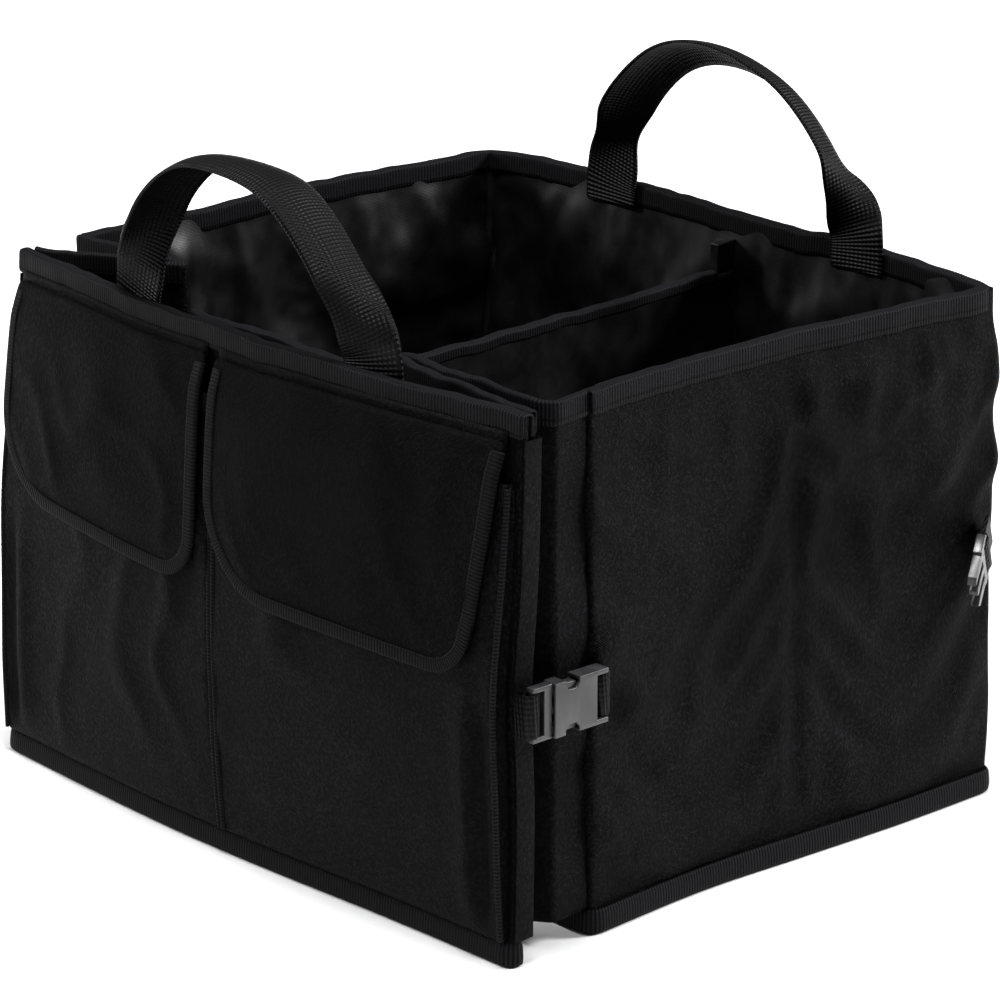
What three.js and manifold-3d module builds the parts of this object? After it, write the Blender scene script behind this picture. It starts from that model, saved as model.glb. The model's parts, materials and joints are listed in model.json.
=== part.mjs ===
// Folding car trunk organizer of black polyester cloth, standing open with its front compartment
// folded shut. Millimetres, +Z up. The origin is the centre of the main compartment's underside,
// +X is the side at the right of the viewer, and -Y is the end with the two flap pockets.
import * as THREE from 'three';
import { mergeVertices } from 'three/addons/utils/BufferGeometryUtils.js';
import Module from 'manifold-3d';

const wasm = await Module();
wasm.setup();

// Main compartment
const WIDTH = 400;
const DEPTH = 288;
const HEIGHT = 280;

// Cloth, boards and the gap that touching pieces keep
const GAP = 0.3;
const CLOTH = 1.2;
const BOARD = 2.6;
const BOARD_MARGIN = 3;
const MID_SEAM = 4;

// Bound rim and sewn hem
const TAPE = 0.8;
const TAPE_DROP = 12;
const HEM_HEIGHT = 13;
const HEM_THICKNESS = 2.4;

// Dividers of the main compartment
const DIVIDER_DROP = 30;
const FRONT_DIVIDER_SETBACK = 9;
const MIDDLE_DIVIDER_FRONT_X = 27;
const MIDDLE_DIVIDER_REAR_X = 3;
const TAB_LENGTH = 16;
const TAB_HEIGHT = 17;

// Folded front compartment
const FOLDED_DEPTH = 56;
const GUSSET = 2.6;
const FOLD_RADIUS = 2.8;
const RIGHT_TIP_X = 84;
const RIGHT_TIP_SETBACK = 20;
const RIGHT_STRIP = 30;
const RIGHT_STRIP_INSET = 12;
const RIGHT_STRIP_TURN = 6;
const RIGHT_STRIP_STANDOFF = 2;
const LEFT_TIP_X = -119;
const LEFT_STRIP_SLACK = 1.6;
const EDGE_BAND = 13;
const EDGE_RETURN = 2;
const FLOOR_FOLD_HEIGHT = 132;
const FLOOR_SIDE_GAP = 6;

// Flap pockets on the front panel
const POCKET_SPLIT_X = -4;
const POCKET_SPLIT_GAP = 1.4;
const POCKET_SIDE_INSET = 3;
const POCKET_BELOW_RIM = 34;
const POCKET_BELLY_FRACTION = 0.5;
const POCKET_BELLY = 14;
const POCKET_MOUTH = 6.2;
const POCKET_FOOT = 12;
const POCKET_TAPE_HEIGHT = 9;
const FLAP = 2.4;
const FLAP_STANDOFF = 2.9;
const FLAP_BELOW_RIM = 14;
const FLAP_LENGTH = 125;
const FLAP_CENTRE_X = -10;
const FLAP_CENTRE_GAP = 8;
const FLAP_SIDE_INSET = 5;
const FLAP_TAPER = 9;
const FLAP_BIG_RADIUS = 50;
const FLAP_SMALL_RADIUS = 25;
const FLAP_TAPE_WIDTH = 9;
const PATCH_LENGTH = 60;
const PATCH_HEIGHT = 20;
const PATCH_ABOVE_HEM = 14;

// Carrying handles
const HANDLE_WIDTH = 40;
const HANDLE_TAPE = 1.6;
const HANDLE_HALF_SPAN = 95;
const HANDLE_RISE = 94;
const HANDLE_SEWN = 34;
const HANDLE_TWIST_START = 6;
const HANDLE_TWIST_END = 46;
const HANDLE_STEPS = 44;

// Side-release buckles and their webbing
const STRAP_WIDTH = 22;
const STRAP = 1.2;
const BUCKLE_Z = 132;
const BUCKLE_WIDTH = 28;
const BUCKLE_THICKNESS = 9;
const BUCKLE_STANDOFF = 2;
const SOCKET_LENGTH = 35;
const SOCKET_MOUTH_DEPTH = 24;
const SOCKET_WALL = 1.6;
const WINDOW_START = 7;
const WINDOW_LENGTH = 9;
const WINDOW_DEPTH = 5;
const BAR = 3;
const SLOT_CLEARANCE = 0.4;
const PLUG_FRAME_LENGTH = 11;
const PLUG_THICKNESS = 5;
const PRONG_LENGTH = 18;
const PRONG_WIDTH = 4.5;
const GUIDE_WIDTH = 3.6;
const REAR_PLUG_OUT = 11;
const REAR_PLUG_FORWARD = 18;
const REAR_STRAP_LENGTH = 16.3;
const REAR_PLUG_Z = 141;
const REAR_PLUG_SWING = 30;
const REAR_PLUG_DROOP = 34;

// Sizes that follow
const PANEL = 2 * CLOTH + 2 * GAP + BOARD;
const HALF_W = WIDTH / 2;
const HALF_D = DEPTH / 2;
const WALL_BOTTOM = PANEL + GAP;
const SIDE_INNER_X = HALF_W - PANEL;
const REAR_INNER_Y = HALF_D - PANEL;
const FRONT_OUTER_Y = -HALF_D - FOLDED_DEPTH;
const FRONT_INNER_Y = FRONT_OUTER_Y + PANEL;
const TAPE_BOTTOM = HEIGHT - TAPE_DROP;
const POCKET_TOP = HEIGHT - POCKET_BELOW_RIM;
const POCKET_BELLY_Z = HEIGHT * POCKET_BELLY_FRACTION;
const FLAP_TOP = HEIGHT - FLAP_BELOW_RIM;
const FLAP_BOTTOM = FLAP_TOP - FLAP_LENGTH;
const WRAP = GAP + TAPE;
const GUSSET_BOTTOM = HEM_HEIGHT + 2 * GAP;
const GUSSET_WRAP = GUSSET / 2 + GAP + TAPE;

// Finishes
const cloth = new THREE.MeshStandardMaterial({ color: 0x17161a, roughness: 0.92, metalness: 0 });
const lining = new THREE.MeshStandardMaterial({ color: 0x101012, roughness: 0.55, metalness: 0 });
const tape = new THREE.MeshStandardMaterial({ color: 0x1d1c20, roughness: 0.88, metalness: 0 });
const webbing = new THREE.MeshStandardMaterial({ color: 0x18181b, roughness: 0.8, metalness: 0 });
const board = new THREE.MeshStandardMaterial({ color: 0x8a7252, roughness: 0.9, metalness: 0 });
const plastic = new THREE.MeshStandardMaterial({ color: 0x141416, roughness: 0.35, metalness: 0 });
const patch = new THREE.MeshStandardMaterial({ color: 0x0e0e10, roughness: 1, metalness: 0 });

// Building helpers
function outline(points) {
  const corners = points.map(([u, v]) => new THREE.Vector2(u, v));
  return new THREE.Shape(THREE.ShapeUtils.isClockWise(corners) ? corners.reverse() : corners);
}

function withHoles(shape, holes) {
  shape.holes = holes.map((points) => outline(points));
  return shape;
}

function rectangle(u0, u1, v0, v1) {
  return [[u0, v0], [u1, v0], [u1, v1], [u0, v1]];
}

function rise(shape, z0, z1) {
  const geometry = new THREE.ExtrudeGeometry(shape, { depth: z1 - z0, bevelEnabled: false, curveSegments: 8 });
  return geometry.translate(0, 0, z0);
}

function acrossX(shape, x0, x1) {
  const geometry = rise(shape, x0, x1);
  const turn = new THREE.Matrix4().set(0, 0, 1, 0, 1, 0, 0, 0, 0, 1, 0, 0, 0, 0, 0, 1);
  return geometry.applyMatrix4(turn);
}

function acrossY(shape, y0, y1) {
  const geometry = rise(shape, -y1, -y0);
  const turn = new THREE.Matrix4().set(1, 0, 0, 0, 0, 0, -1, 0, 0, 1, 0, 0, 0, 0, 0, 1);
  return geometry.applyMatrix4(turn);
}

function box(x0, x1, y0, y1, z0, z1) {
  const geometry = new THREE.BoxGeometry(x1 - x0, y1 - y0, z1 - z0);
  return geometry.translate((x0 + x1) / 2, (y0 + y1) / 2, (z0 + z1) / 2);
}

function solid(geometry) {
  const bare = geometry.clone();
  bare.deleteAttribute('normal');
  bare.deleteAttribute('uv');
  const merged = mergeVertices(bare, 1e-4);
  const vertProperties = new Float32Array(merged.attributes.position.array);
  const triVerts = new Uint32Array(merged.index.array);
  return new wasm.Manifold(new wasm.Mesh({ numProp: 3, vertProperties, triVerts }));
}

function skin(manifold) {
  const mesh = manifold.getMesh();
  const geometry = new THREE.BufferGeometry();
  geometry.setAttribute('position', new THREE.BufferAttribute(new Float32Array(mesh.vertProperties), 3));
  geometry.setIndex(new THREE.BufferAttribute(new Uint32Array(mesh.triVerts), 1));
  geometry.computeVertexNormals();
  return geometry;
}

function cut(body, ...tools) {
  return skin(tools.reduce((left, tool) => left.subtract(solid(tool)), solid(body)));
}

function shared(first, second) {
  return skin(solid(first).intersect(solid(second)));
}

function mirrored(geometry) {
  const bare = geometry.clone();
  bare.deleteAttribute('normal');
  bare.deleteAttribute('uv');
  const flipped = mergeVertices(bare, 1e-4).scale(-1, 1, 1);
  const index = flipped.index;
  for (let i = 0; i < index.count; i += 3) {
    const first = index.getX(i);
    index.setX(i, index.getX(i + 1));
    index.setX(i + 1, first);
  }
  flipped.computeVertexNormals();
  return flipped;
}

// Both sides of an open path, with mitred corners, as one closed outline
function band(path, half) {
  const points = path.map(([u, v]) => new THREE.Vector2(u, v));
  const left = [];
  const right = [];
  points.forEach((point, i) => {
    const before = points[Math.max(i - 1, 0)];
    const after = points[Math.min(i + 1, points.length - 1)];
    const into = (i === 0 ? after.clone().sub(point) : point.clone().sub(before)).normalize();
    const out = (i === points.length - 1 ? into.clone() : after.clone().sub(point)).normalize();
    const along = into.clone().add(out).normalize();
    const reach = half / along.dot(into);
    left.push([point.x - along.y * reach, point.y + along.x * reach]);
    right.push([point.x + along.y * reach, point.y - along.x * reach]);
  });
  return [...left, ...right.reverse()];
}

// A tape folded over the top of a wall that follows a path
function foldedTape(path, halfWall, lengthen, top = HEIGHT) {
  const wide = rise(outline(band(path, halfWall + WRAP)), top - TAPE_DROP, top + WRAP);
  const first = new THREE.Vector2(...path[0]);
  const last = new THREE.Vector2(...path[path.length - 1]);
  const second = new THREE.Vector2(...path[1]);
  const beforeLast = new THREE.Vector2(...path[path.length - 2]);
  const start = first.clone().add(first.clone().sub(second).setLength(lengthen));
  const end = last.clone().add(last.clone().sub(beforeLast).setLength(lengthen));
  const longer = [[start.x, start.y], ...path.slice(1, -1), [end.x, end.y]];
  const wall = rise(outline(band(longer, halfWall + GAP)), top - 2 * TAPE_DROP, top + GAP);
  return cut(wide, wall);
}

function arc(cx, cy, radius, from, to, steps) {
  return Array.from({ length: steps + 1 }, (_, i) => {
    const angle = THREE.MathUtils.degToRad(from + ((to - from) * i) / steps);
    return [cx + radius * Math.cos(angle), cy + radius * Math.sin(angle)];
  });
}

const organizer = new THREE.Group();

function add(name, geometry, material, parent = organizer) {
  const mesh = new THREE.Mesh(geometry, material);
  mesh.name = name;
  parent.add(mesh);
  return mesh;
}

// Base, a cloth sleeve with a board in it
const baseHole = rectangle(-HALF_W + CLOTH, HALF_W - CLOTH, CLOTH, PANEL - CLOTH);
const baseSection = withHoles(outline(rectangle(-HALF_W, HALF_W, 0, PANEL)), [baseHole]);
add('base_cover', acrossY(baseSection, -HALF_D, HALF_D), lining);
add('base_board', box(
  -HALF_W + CLOTH + GAP, HALF_W - CLOTH - GAP,
  -HALF_D + BOARD_MARGIN, HALF_D - BOARD_MARGIN,
  CLOTH + GAP, CLOTH + GAP + BOARD,
), board);

// A straight wall: a flat cloth tube, open at top and bottom, around one or more boards
function wallBoards(u0, u1, parts) {
  const length = (u1 - u0 - 2 * CLOTH - (parts - 1) * MID_SEAM) / parts;
  return Array.from({ length: parts }, (_, i) => {
    const start = u0 + CLOTH + i * (length + MID_SEAM);
    return [start, start + length];
  });
}

function wallAlongX(prefix, x0, x1, y0, z0, z1) {
  const [[b0, b1]] = wallBoards(x0, x1, 1);
  const hole = rectangle(b0, b1, y0 + CLOTH, y0 + PANEL - CLOTH);
  add(`${prefix}_cover`, rise(withHoles(outline(rectangle(x0, x1, y0, y0 + PANEL)), [hole]), z0, z1), cloth);
  add(`${prefix}_board`, box(
    b0 + GAP, b1 - GAP,
    y0 + CLOTH + GAP, y0 + CLOTH + GAP + BOARD,
    z0 + BOARD_MARGIN, z1 - BOARD_MARGIN,
  ), board);
}

function sideWall(prefix, x0) {
  const parts = wallBoards(-HALF_D, HALF_D, 2);
  const holes = parts.map(([b0, b1]) => rectangle(x0 + CLOTH, x0 + PANEL - CLOTH, b0, b1));
  const section = withHoles(outline(rectangle(x0, x0 + PANEL, -HALF_D, HALF_D)), holes);
  add(`${prefix}_cover`, rise(section, WALL_BOTTOM, HEIGHT), cloth);
  parts.forEach(([b0, b1], i) => add(`${prefix}_board_${i === 0 ? 'front' : 'rear'}`, box(
    x0 + CLOTH + GAP, x0 + CLOTH + GAP + BOARD,
    b0 + GAP, b1 - GAP,
    WALL_BOTTOM + BOARD_MARGIN, HEIGHT - BOARD_MARGIN,
  ), board));
}

sideWall('right_side', SIDE_INNER_X);
sideWall('left_side', -HALF_W);
wallAlongX('rear_panel', -SIDE_INNER_X + GAP, SIDE_INNER_X - GAP, REAR_INNER_Y, WALL_BOTTOM, HEIGHT);
wallAlongX('front_panel', -HALF_W, HALF_W, FRONT_OUTER_Y, GAP + CLOTH, HEIGHT);

// Wall between the two compartments
const DIVIDER_TOP = HEIGHT - DIVIDER_DROP;
const dividerY = -HALF_D + FRONT_DIVIDER_SETBACK;
wallAlongX('front_divider', -SIDE_INNER_X + GAP, SIDE_INNER_X - GAP, dividerY, WALL_BOTTOM, DIVIDER_TOP);

function dividerTape(path) {
  return foldedTape(path, PANEL / 2, PANEL, DIVIDER_TOP);
}

const dividerMidY = dividerY + PANEL / 2;
const tapeEndX = SIDE_INNER_X - GAP;
add('front_divider_binding', dividerTape([[-tapeEndX, dividerMidY], [tapeEndX, dividerMidY]]), tape);

// Middle divider, which runs a little askew from the front divider to the rear panel
const middleFrontY = dividerY + PANEL + WRAP + 2 * GAP;
const middleRearY = REAR_INNER_Y - 2 * GAP;
const middlePath = [[MIDDLE_DIVIDER_FRONT_X, middleFrontY], [MIDDLE_DIVIDER_REAR_X, middleRearY]];
const middleDirection = new THREE.Vector2(
  MIDDLE_DIVIDER_REAR_X - MIDDLE_DIVIDER_FRONT_X,
  middleRearY - middleFrontY,
).normalize();

function alongMiddle(inset) {
  const [start, end] = middlePath;
  return [
    [start[0] + middleDirection.x * inset, start[1] + middleDirection.y * inset],
    [end[0] - middleDirection.x * inset, end[1] - middleDirection.y * inset],
  ];
}

const middleHole = band(alongMiddle(CLOTH), PANEL / 2 - CLOTH);
const middleSection = withHoles(outline(band(middlePath, PANEL / 2)), [middleHole]);
add('middle_divider_cover', rise(middleSection, WALL_BOTTOM, DIVIDER_TOP), lining);
const middleBoard = outline(band(alongMiddle(CLOTH + GAP), BOARD / 2));
add('middle_divider_board', rise(middleBoard, WALL_BOTTOM + BOARD_MARGIN, DIVIDER_TOP - BOARD_MARGIN), board);
const middleTapeLength = TAB_LENGTH + 2 * GAP;
const middleTapeEnd = [
  middlePath[1][0] - middleDirection.x * middleTapeLength,
  middlePath[1][1] - middleDirection.y * middleTapeLength,
];
add('middle_divider_binding', dividerTape([middlePath[0], middleTapeEnd]), tape);
const tabStart = [
  middlePath[1][0] - middleDirection.x * TAB_LENGTH,
  middlePath[1][1] - middleDirection.y * TAB_LENGTH,
];
const tabShape = outline(band([tabStart, middlePath[1]], PANEL / 2));
add('middle_divider_tab', rise(tabShape, DIVIDER_TOP + GAP, DIVIDER_TOP + TAB_HEIGHT), lining);

// Folded side gussets of the front compartment
const gussetFrontY = FRONT_INNER_Y + WRAP + GAP + GUSSET_WRAP;
const gussetRearY = -HALF_D - GAP;
const rightTipY = -HALF_D - RIGHT_TIP_SETBACK;
const rightStripX = HALF_W - GUSSET / 2 - RIGHT_STRIP_STANDOFF;
const rightGusset = [
  [HALF_W - GUSSET / 2, gussetFrontY],
  ...arc(RIGHT_TIP_X, rightTipY, FOLD_RADIUS, -90, -270, 6),
  [HALF_W - RIGHT_STRIP_INSET, gussetRearY - RIGHT_STRIP],
  [rightStripX, gussetRearY - RIGHT_STRIP + RIGHT_STRIP_TURN],
  [rightStripX, gussetRearY],
];
const leftTipY = dividerY - GAP - GUSSET_WRAP - FOLD_RADIUS - GAP;
const leftGusset = [
  [-HALF_W + GUSSET / 2, gussetFrontY],
  ...arc(LEFT_TIP_X, leftTipY, FOLD_RADIUS, -90, 90, 6),
  [-HALF_W + GUSSET, gussetRearY - GUSSET_WRAP - LEFT_STRIP_SLACK],
];
add('gusset_right', rise(outline(band(rightGusset, GUSSET / 2)), GUSSET_BOTTOM, HEIGHT), cloth);
add('gusset_left', rise(outline(band(leftGusset, GUSSET / 2)), GUSSET_BOTTOM, HEIGHT), cloth);

// Rim tapes, each folded over the top of its wall
const wallX = HALF_W - PANEL / 2;
const wallY = HALF_D - PANEL / 2;
const mainRim = [[wallX, -HALF_D], [wallX, wallY], [-wallX, wallY], [-wallX, -HALF_D]];
const frontRimY = FRONT_OUTER_Y + PANEL / 2;
const frontRimX = HALF_W + WRAP;
add('rim_binding_main', foldedTape(mainRim, PANEL / 2, PANEL), tape);
add('rim_binding_front', foldedTape([[-frontRimX, frontRimY], [frontRimX, frontRimY]], PANEL / 2, PANEL), tape);
add('rim_binding_gusset_right', foldedTape(rightGusset, GUSSET / 2, PANEL), tape);
add('rim_binding_gusset_left', foldedTape(leftGusset, GUSSET / 2, PANEL), tape);

// Hem around the foot of the main compartment, and hem under the front panel
const hemX = HALF_W + GAP;
const hemY = HALF_D + GAP;
const hemRing = withHoles(
  outline(rectangle(-hemX - HEM_THICKNESS, hemX + HEM_THICKNESS, -hemY - HEM_THICKNESS, hemY + HEM_THICKNESS)),
  [rectangle(-hemX, hemX, -hemY, hemY)],
);
add('base_hem', rise(hemRing, 0, HEM_HEIGHT), tape);
const frontHemSide = outline([
  [FRONT_OUTER_Y - GAP - CLOTH, 0],
  [FRONT_INNER_Y + GAP + CLOTH, 0],
  [FRONT_INNER_Y + GAP + CLOTH, HEM_HEIGHT],
  [FRONT_INNER_Y + GAP, HEM_HEIGHT],
  [FRONT_INNER_Y + GAP, CLOTH],
  [FRONT_OUTER_Y - GAP, CLOTH],
  [FRONT_OUTER_Y - GAP, HEM_HEIGHT],
  [FRONT_OUTER_Y - GAP - CLOTH, HEM_HEIGHT],
]);
add('front_hem', acrossX(frontHemSide, -HALF_W - WRAP, HALF_W + WRAP), tape);

// Cloth bands that close the front panel's upright edges over the ends of the gussets
const bandX = HALF_W + GAP;
const bandFrontY = FRONT_OUTER_Y;
const bandRearY = FRONT_OUTER_Y + EDGE_BAND;
const bandShape = outline([
  [bandX, bandFrontY],
  [bandX + CLOTH, bandFrontY],
  [bandX + CLOTH, bandRearY],
  [bandX - EDGE_RETURN, bandRearY],
  [bandX - EDGE_RETURN, bandRearY - CLOTH],
  [bandX, bandRearY - CLOTH],
]);
const bandGeometry = rise(bandShape, HEM_HEIGHT + GAP, TAPE_BOTTOM - GAP);
add('front_edge_right', bandGeometry, cloth);
add('front_edge_left', mirrored(bandGeometry), cloth);

// Cloth floor of the front compartment, folded up between the gussets
const floorFrontY = FRONT_INNER_Y + GAP + CLOTH + GAP + GUSSET / 2;
const floorRearY = -hemY - HEM_THICKNESS - GAP - GUSSET / 2;
const floorMidY = (floorFrontY + floorRearY) / 2;
const floorPath = [
  [floorFrontY, GAP],
  [floorFrontY, HEM_HEIGHT],
  ...arc(floorMidY, FLOOR_FOLD_HEIGHT, FOLD_RADIUS, 180, 0, 6),
  [floorRearY, HEM_HEIGHT],
  [floorRearY, GAP],
];
const floorShape = outline(band(floorPath, GUSSET / 2));
const floorLeftX = LEFT_TIP_X + FOLD_RADIUS + GUSSET_WRAP + FLOOR_SIDE_GAP;
const floorRightX = RIGHT_TIP_X - FOLD_RADIUS - GUSSET_WRAP - FLOOR_SIDE_GAP;
add('front_floor', acrossX(floorShape, floorLeftX, floorRightX), lining);

// Pockets, seen from the side: distance in front of the panel's face, and height
const pocketBack = FRONT_OUTER_Y - GAP;
const pocketFoot = HEM_HEIGHT + GAP;

function pocketFace(offset) {
  return [
    [pocketBack - POCKET_FOOT - offset, pocketFoot],
    [pocketBack - POCKET_BELLY - offset, POCKET_BELLY_Z],
    [pocketBack - POCKET_MOUTH - offset, POCKET_TOP],
  ];
}

function pocketLean() {
  return Math.atan2(POCKET_BELLY - POCKET_MOUTH, POCKET_TOP - POCKET_BELLY_Z);
}

function pocket(x0, x1) {
  const [foot, belly, mouth] = pocketFace(0);
  const outside = outline([[pocketBack, foot[1]], foot, belly, mouth, [pocketBack, mouth[1]]]);
  const [innerFoot, innerBelly, innerMouth] = pocketFace(-CLOTH);
  const overMouth = [innerMouth[0], innerMouth[1] + TAPE_DROP];
  const inside = outline([
    [pocketBack + CLOTH, pocketFoot + CLOTH],
    [innerFoot[0], pocketFoot + CLOTH],
    innerBelly,
    innerMouth,
    overMouth,
    [pocketBack + CLOTH, overMouth[1]],
  ]);
  return cut(acrossX(outside, x0, x1), acrossX(inside, x0 + CLOTH, x1 - CLOTH));
}

// A slab that lies along the upper, leaning part of a pocket's face
function onPocketFace(x0, x1, z0, z1, offset, thickness) {
  const lean = Math.tan(pocketLean());
  const faceY = (z) => pocketBack - POCKET_MOUTH - (POCKET_TOP - z) * lean - offset;
  const side = outline([
    [faceY(z0) - thickness, z0],
    [faceY(z0), z0],
    [faceY(z1), z1],
    [faceY(z1) - thickness, z1],
  ]);
  return acrossX(side, x0, x1);
}

const pocketSpans = {
  left: [-HALF_W + POCKET_SIDE_INSET, POCKET_SPLIT_X - POCKET_SPLIT_GAP / 2],
  right: [POCKET_SPLIT_X + POCKET_SPLIT_GAP / 2, HALF_W - POCKET_SIDE_INSET],
};

// Flaps, a bent profile trimmed to an outline with a large and a small corner
const hingeY = FRONT_OUTER_Y - FLAP;
const flapMid = FLAP_STANDOFF + FLAP / 2;

function flapProfile(grow) {
  const [, belly, mouth] = pocketFace(flapMid);
  const lean = Math.tan(pocketLean());
  const low = [belly[0] - lean * PATCH_HEIGHT, belly[1] - PATCH_HEIGHT];
  return outline(band([[hingeY, FLAP_TOP + grow], mouth, low], FLAP / 2 + grow));
}

function flapOutline(x0, x1, taper, inset, top) {
  const left = x0 + inset;
  const right = x1 - inset;
  const bottom = FLAP_BOTTOM + inset;
  const big = FLAP_BIG_RADIUS - inset;
  const small = FLAP_SMALL_RADIUS - inset;
  const footRight = right - taper;
  const slant = taper / (FLAP_TOP - FLAP_BOTTOM - FLAP_SMALL_RADIUS);
  return [
    [left, top],
    ...arc(left + big, bottom + big, big, 180, 270, 8),
    ...arc(footRight - small, bottom + small, small, 270, 360, 6),
    [footRight + slant * (top - bottom - small), top],
  ];
}

function flap(x0, x1, taper) {
  const cutter = acrossY(outline(flapOutline(x0, x1, taper, 0, FLAP_TOP)), FRONT_OUTER_Y - 60, FRONT_OUTER_Y);
  return shared(acrossX(flapProfile(0), x0 - 1, x1 + 1), cutter);
}

function flapTape(x0, x1, taper) {
  const top = FLAP_TOP - FLAP_TAPE_WIDTH / 2;
  const rim = withHoles(
    outline(flapOutline(x0, x1, taper, -WRAP, top)),
    [flapOutline(x0, x1, taper, FLAP_TAPE_WIDTH, top - 1)],
  );
  const openRim = cut(
    acrossY(rim, FRONT_OUTER_Y - 60, FRONT_OUTER_Y),
    box(x0 + FLAP_TAPE_WIDTH, x1 - FLAP_TAPE_WIDTH, FRONT_OUTER_Y - 70, FRONT_OUTER_Y + 10, top - 1.5, top + 1),
  );
  const thick = shared(acrossX(flapProfile(WRAP), x0 - 5, x1 + 5), openRim);
  const inner = shared(
    acrossX(flapProfile(GAP), x0 - 5, x1 + 5),
    acrossY(outline(flapOutline(x0, x1, taper, -GAP, FLAP_TOP + 5)), FRONT_OUTER_Y - 60, FRONT_OUTER_Y),
  );
  return cut(thick, inner);
}

const flapSpans = {
  left: [-HALF_W + FLAP_SIDE_INSET, FLAP_CENTRE_X - FLAP_CENTRE_GAP / 2, 0],
  right: [FLAP_CENTRE_X + FLAP_CENTRE_GAP / 2, HALF_W - FLAP_SIDE_INSET, FLAP_TAPER],
};

for (const side of ['left', 'right']) {
  const [p0, p1] = pocketSpans[side];
  add(`pocket_${side}`, pocket(p0, p1), cloth);
  const tapeLow = POCKET_TOP - POCKET_TAPE_HEIGHT;
  add(`pocket_tape_${side}`, onPocketFace(p0, p1, tapeLow, POCKET_TOP, GAP, TAPE), tape);
  const [f0, f1, taper] = flapSpans[side];
  add(`flap_${side}`, flap(f0, f1, taper), cloth);
  add(`flap_tape_${side}`, flapTape(f0, f1, taper), tape);
  const patchX = (f0 + f1) / 2;
  const patchLow = FLAP_BOTTOM + FLAP_TAPE_WIDTH + PATCH_ABOVE_HEM / 2;
  const patchThickness = (FLAP_STANDOFF - 3 * GAP) / 2;
  const reach = [patchX - PATCH_LENGTH / 2, patchX + PATCH_LENGTH / 2, patchLow, patchLow + PATCH_HEIGHT];
  add(`loop_patch_${side}`, onPocketFace(...reach, GAP, patchThickness), patch);
  add(`hook_patch_${side}`, onPocketFace(...reach, 2 * GAP + patchThickness, patchThickness), patch);
}

// Handles: webbing whose ends lie flat on a panel and whose arch is turned a quarter
const handleCurve = new THREE.CatmullRomCurve3([
  new THREE.Vector3(-HANDLE_HALF_SPAN, 0, HEIGHT - HANDLE_SEWN),
  new THREE.Vector3(-HANDLE_HALF_SPAN, 0, HEIGHT + HANDLE_TWIST_START),
  new THREE.Vector3(-HANDLE_HALF_SPAN * 0.87, 0, HEIGHT + HANDLE_RISE * 0.5),
  new THREE.Vector3(-HANDLE_HALF_SPAN * 0.5, 0, HEIGHT + HANDLE_RISE * 0.87),
  new THREE.Vector3(0, 0, HEIGHT + HANDLE_RISE),
  new THREE.Vector3(HANDLE_HALF_SPAN * 0.5, 0, HEIGHT + HANDLE_RISE * 0.87),
  new THREE.Vector3(HANDLE_HALF_SPAN * 0.87, 0, HEIGHT + HANDLE_RISE * 0.5),
  new THREE.Vector3(HANDLE_HALF_SPAN, 0, HEIGHT + HANDLE_TWIST_START),
  new THREE.Vector3(HANDLE_HALF_SPAN, 0, HEIGHT - HANDLE_SEWN),
]);

function handle() {
  const geometry = new THREE.BoxGeometry(HANDLE_WIDTH, HANDLE_TAPE, 1, 1, 1, HANDLE_STEPS);
  const position = geometry.attributes.position;
  const across = new THREE.Vector3(0, 1, 0);
  for (let i = 0; i < position.count; i += 1) {
    const along = position.getZ(i) + 0.5;
    const centre = handleCurve.getPointAt(along);
    const tangent = handleCurve.getTangentAt(along);
    const inward = new THREE.Vector3().crossVectors(across, tangent);
    const over = centre.z - HEIGHT;
    const turned = THREE.MathUtils.smoothstep(over, HANDLE_TWIST_START, HANDLE_TWIST_END);
    const angle = (turned * Math.PI) / 2;
    const wide = inward.clone().multiplyScalar(Math.cos(angle)).addScaledVector(across, Math.sin(angle));
    const thin = new THREE.Vector3().crossVectors(tangent, wide);
    const point = centre.addScaledVector(wide, position.getX(i)).addScaledVector(thin, position.getY(i));
    position.setXYZ(i, point.x, point.y, point.z);
  }
  return geometry;
}

const handleRearY = REAR_INNER_Y - WRAP - GAP - HANDLE_TAPE / 2;
const handleFrontY = FRONT_INNER_Y + WRAP + GAP + HANDLE_TAPE / 2;
add('handle_rear', handle(), webbing).position.y = handleRearY;
add('handle_front', handle(), webbing).position.y = handleFrontY;

// Buckle halves, drawn flat: u along the buckle, w across it, and extruded through its thickness
const halfBuckle = BUCKLE_WIDTH / 2;
const mouthHalf = halfBuckle - SOCKET_WALL;
const slotHalf = STRAP_WIDTH / 2 + SLOT_CLEARANCE;
const slotLength = BAR / 2 + STRAP + 2 * GAP + 1;

function thick(shape, thickness) {
  return acrossX(shape, -thickness / 2, thickness / 2);
}

// What is cut away above and below a bar, so that webbing can pass around it
function saddles(u0, u1) {
  const shape = outline(rectangle(u0, u1, -slotHalf, slotHalf));
  return [
    acrossX(shape, BAR / 2, BUCKLE_THICKNESS),
    acrossX(shape, -BUCKLE_THICKNESS, -BAR / 2),
  ];
}

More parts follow.
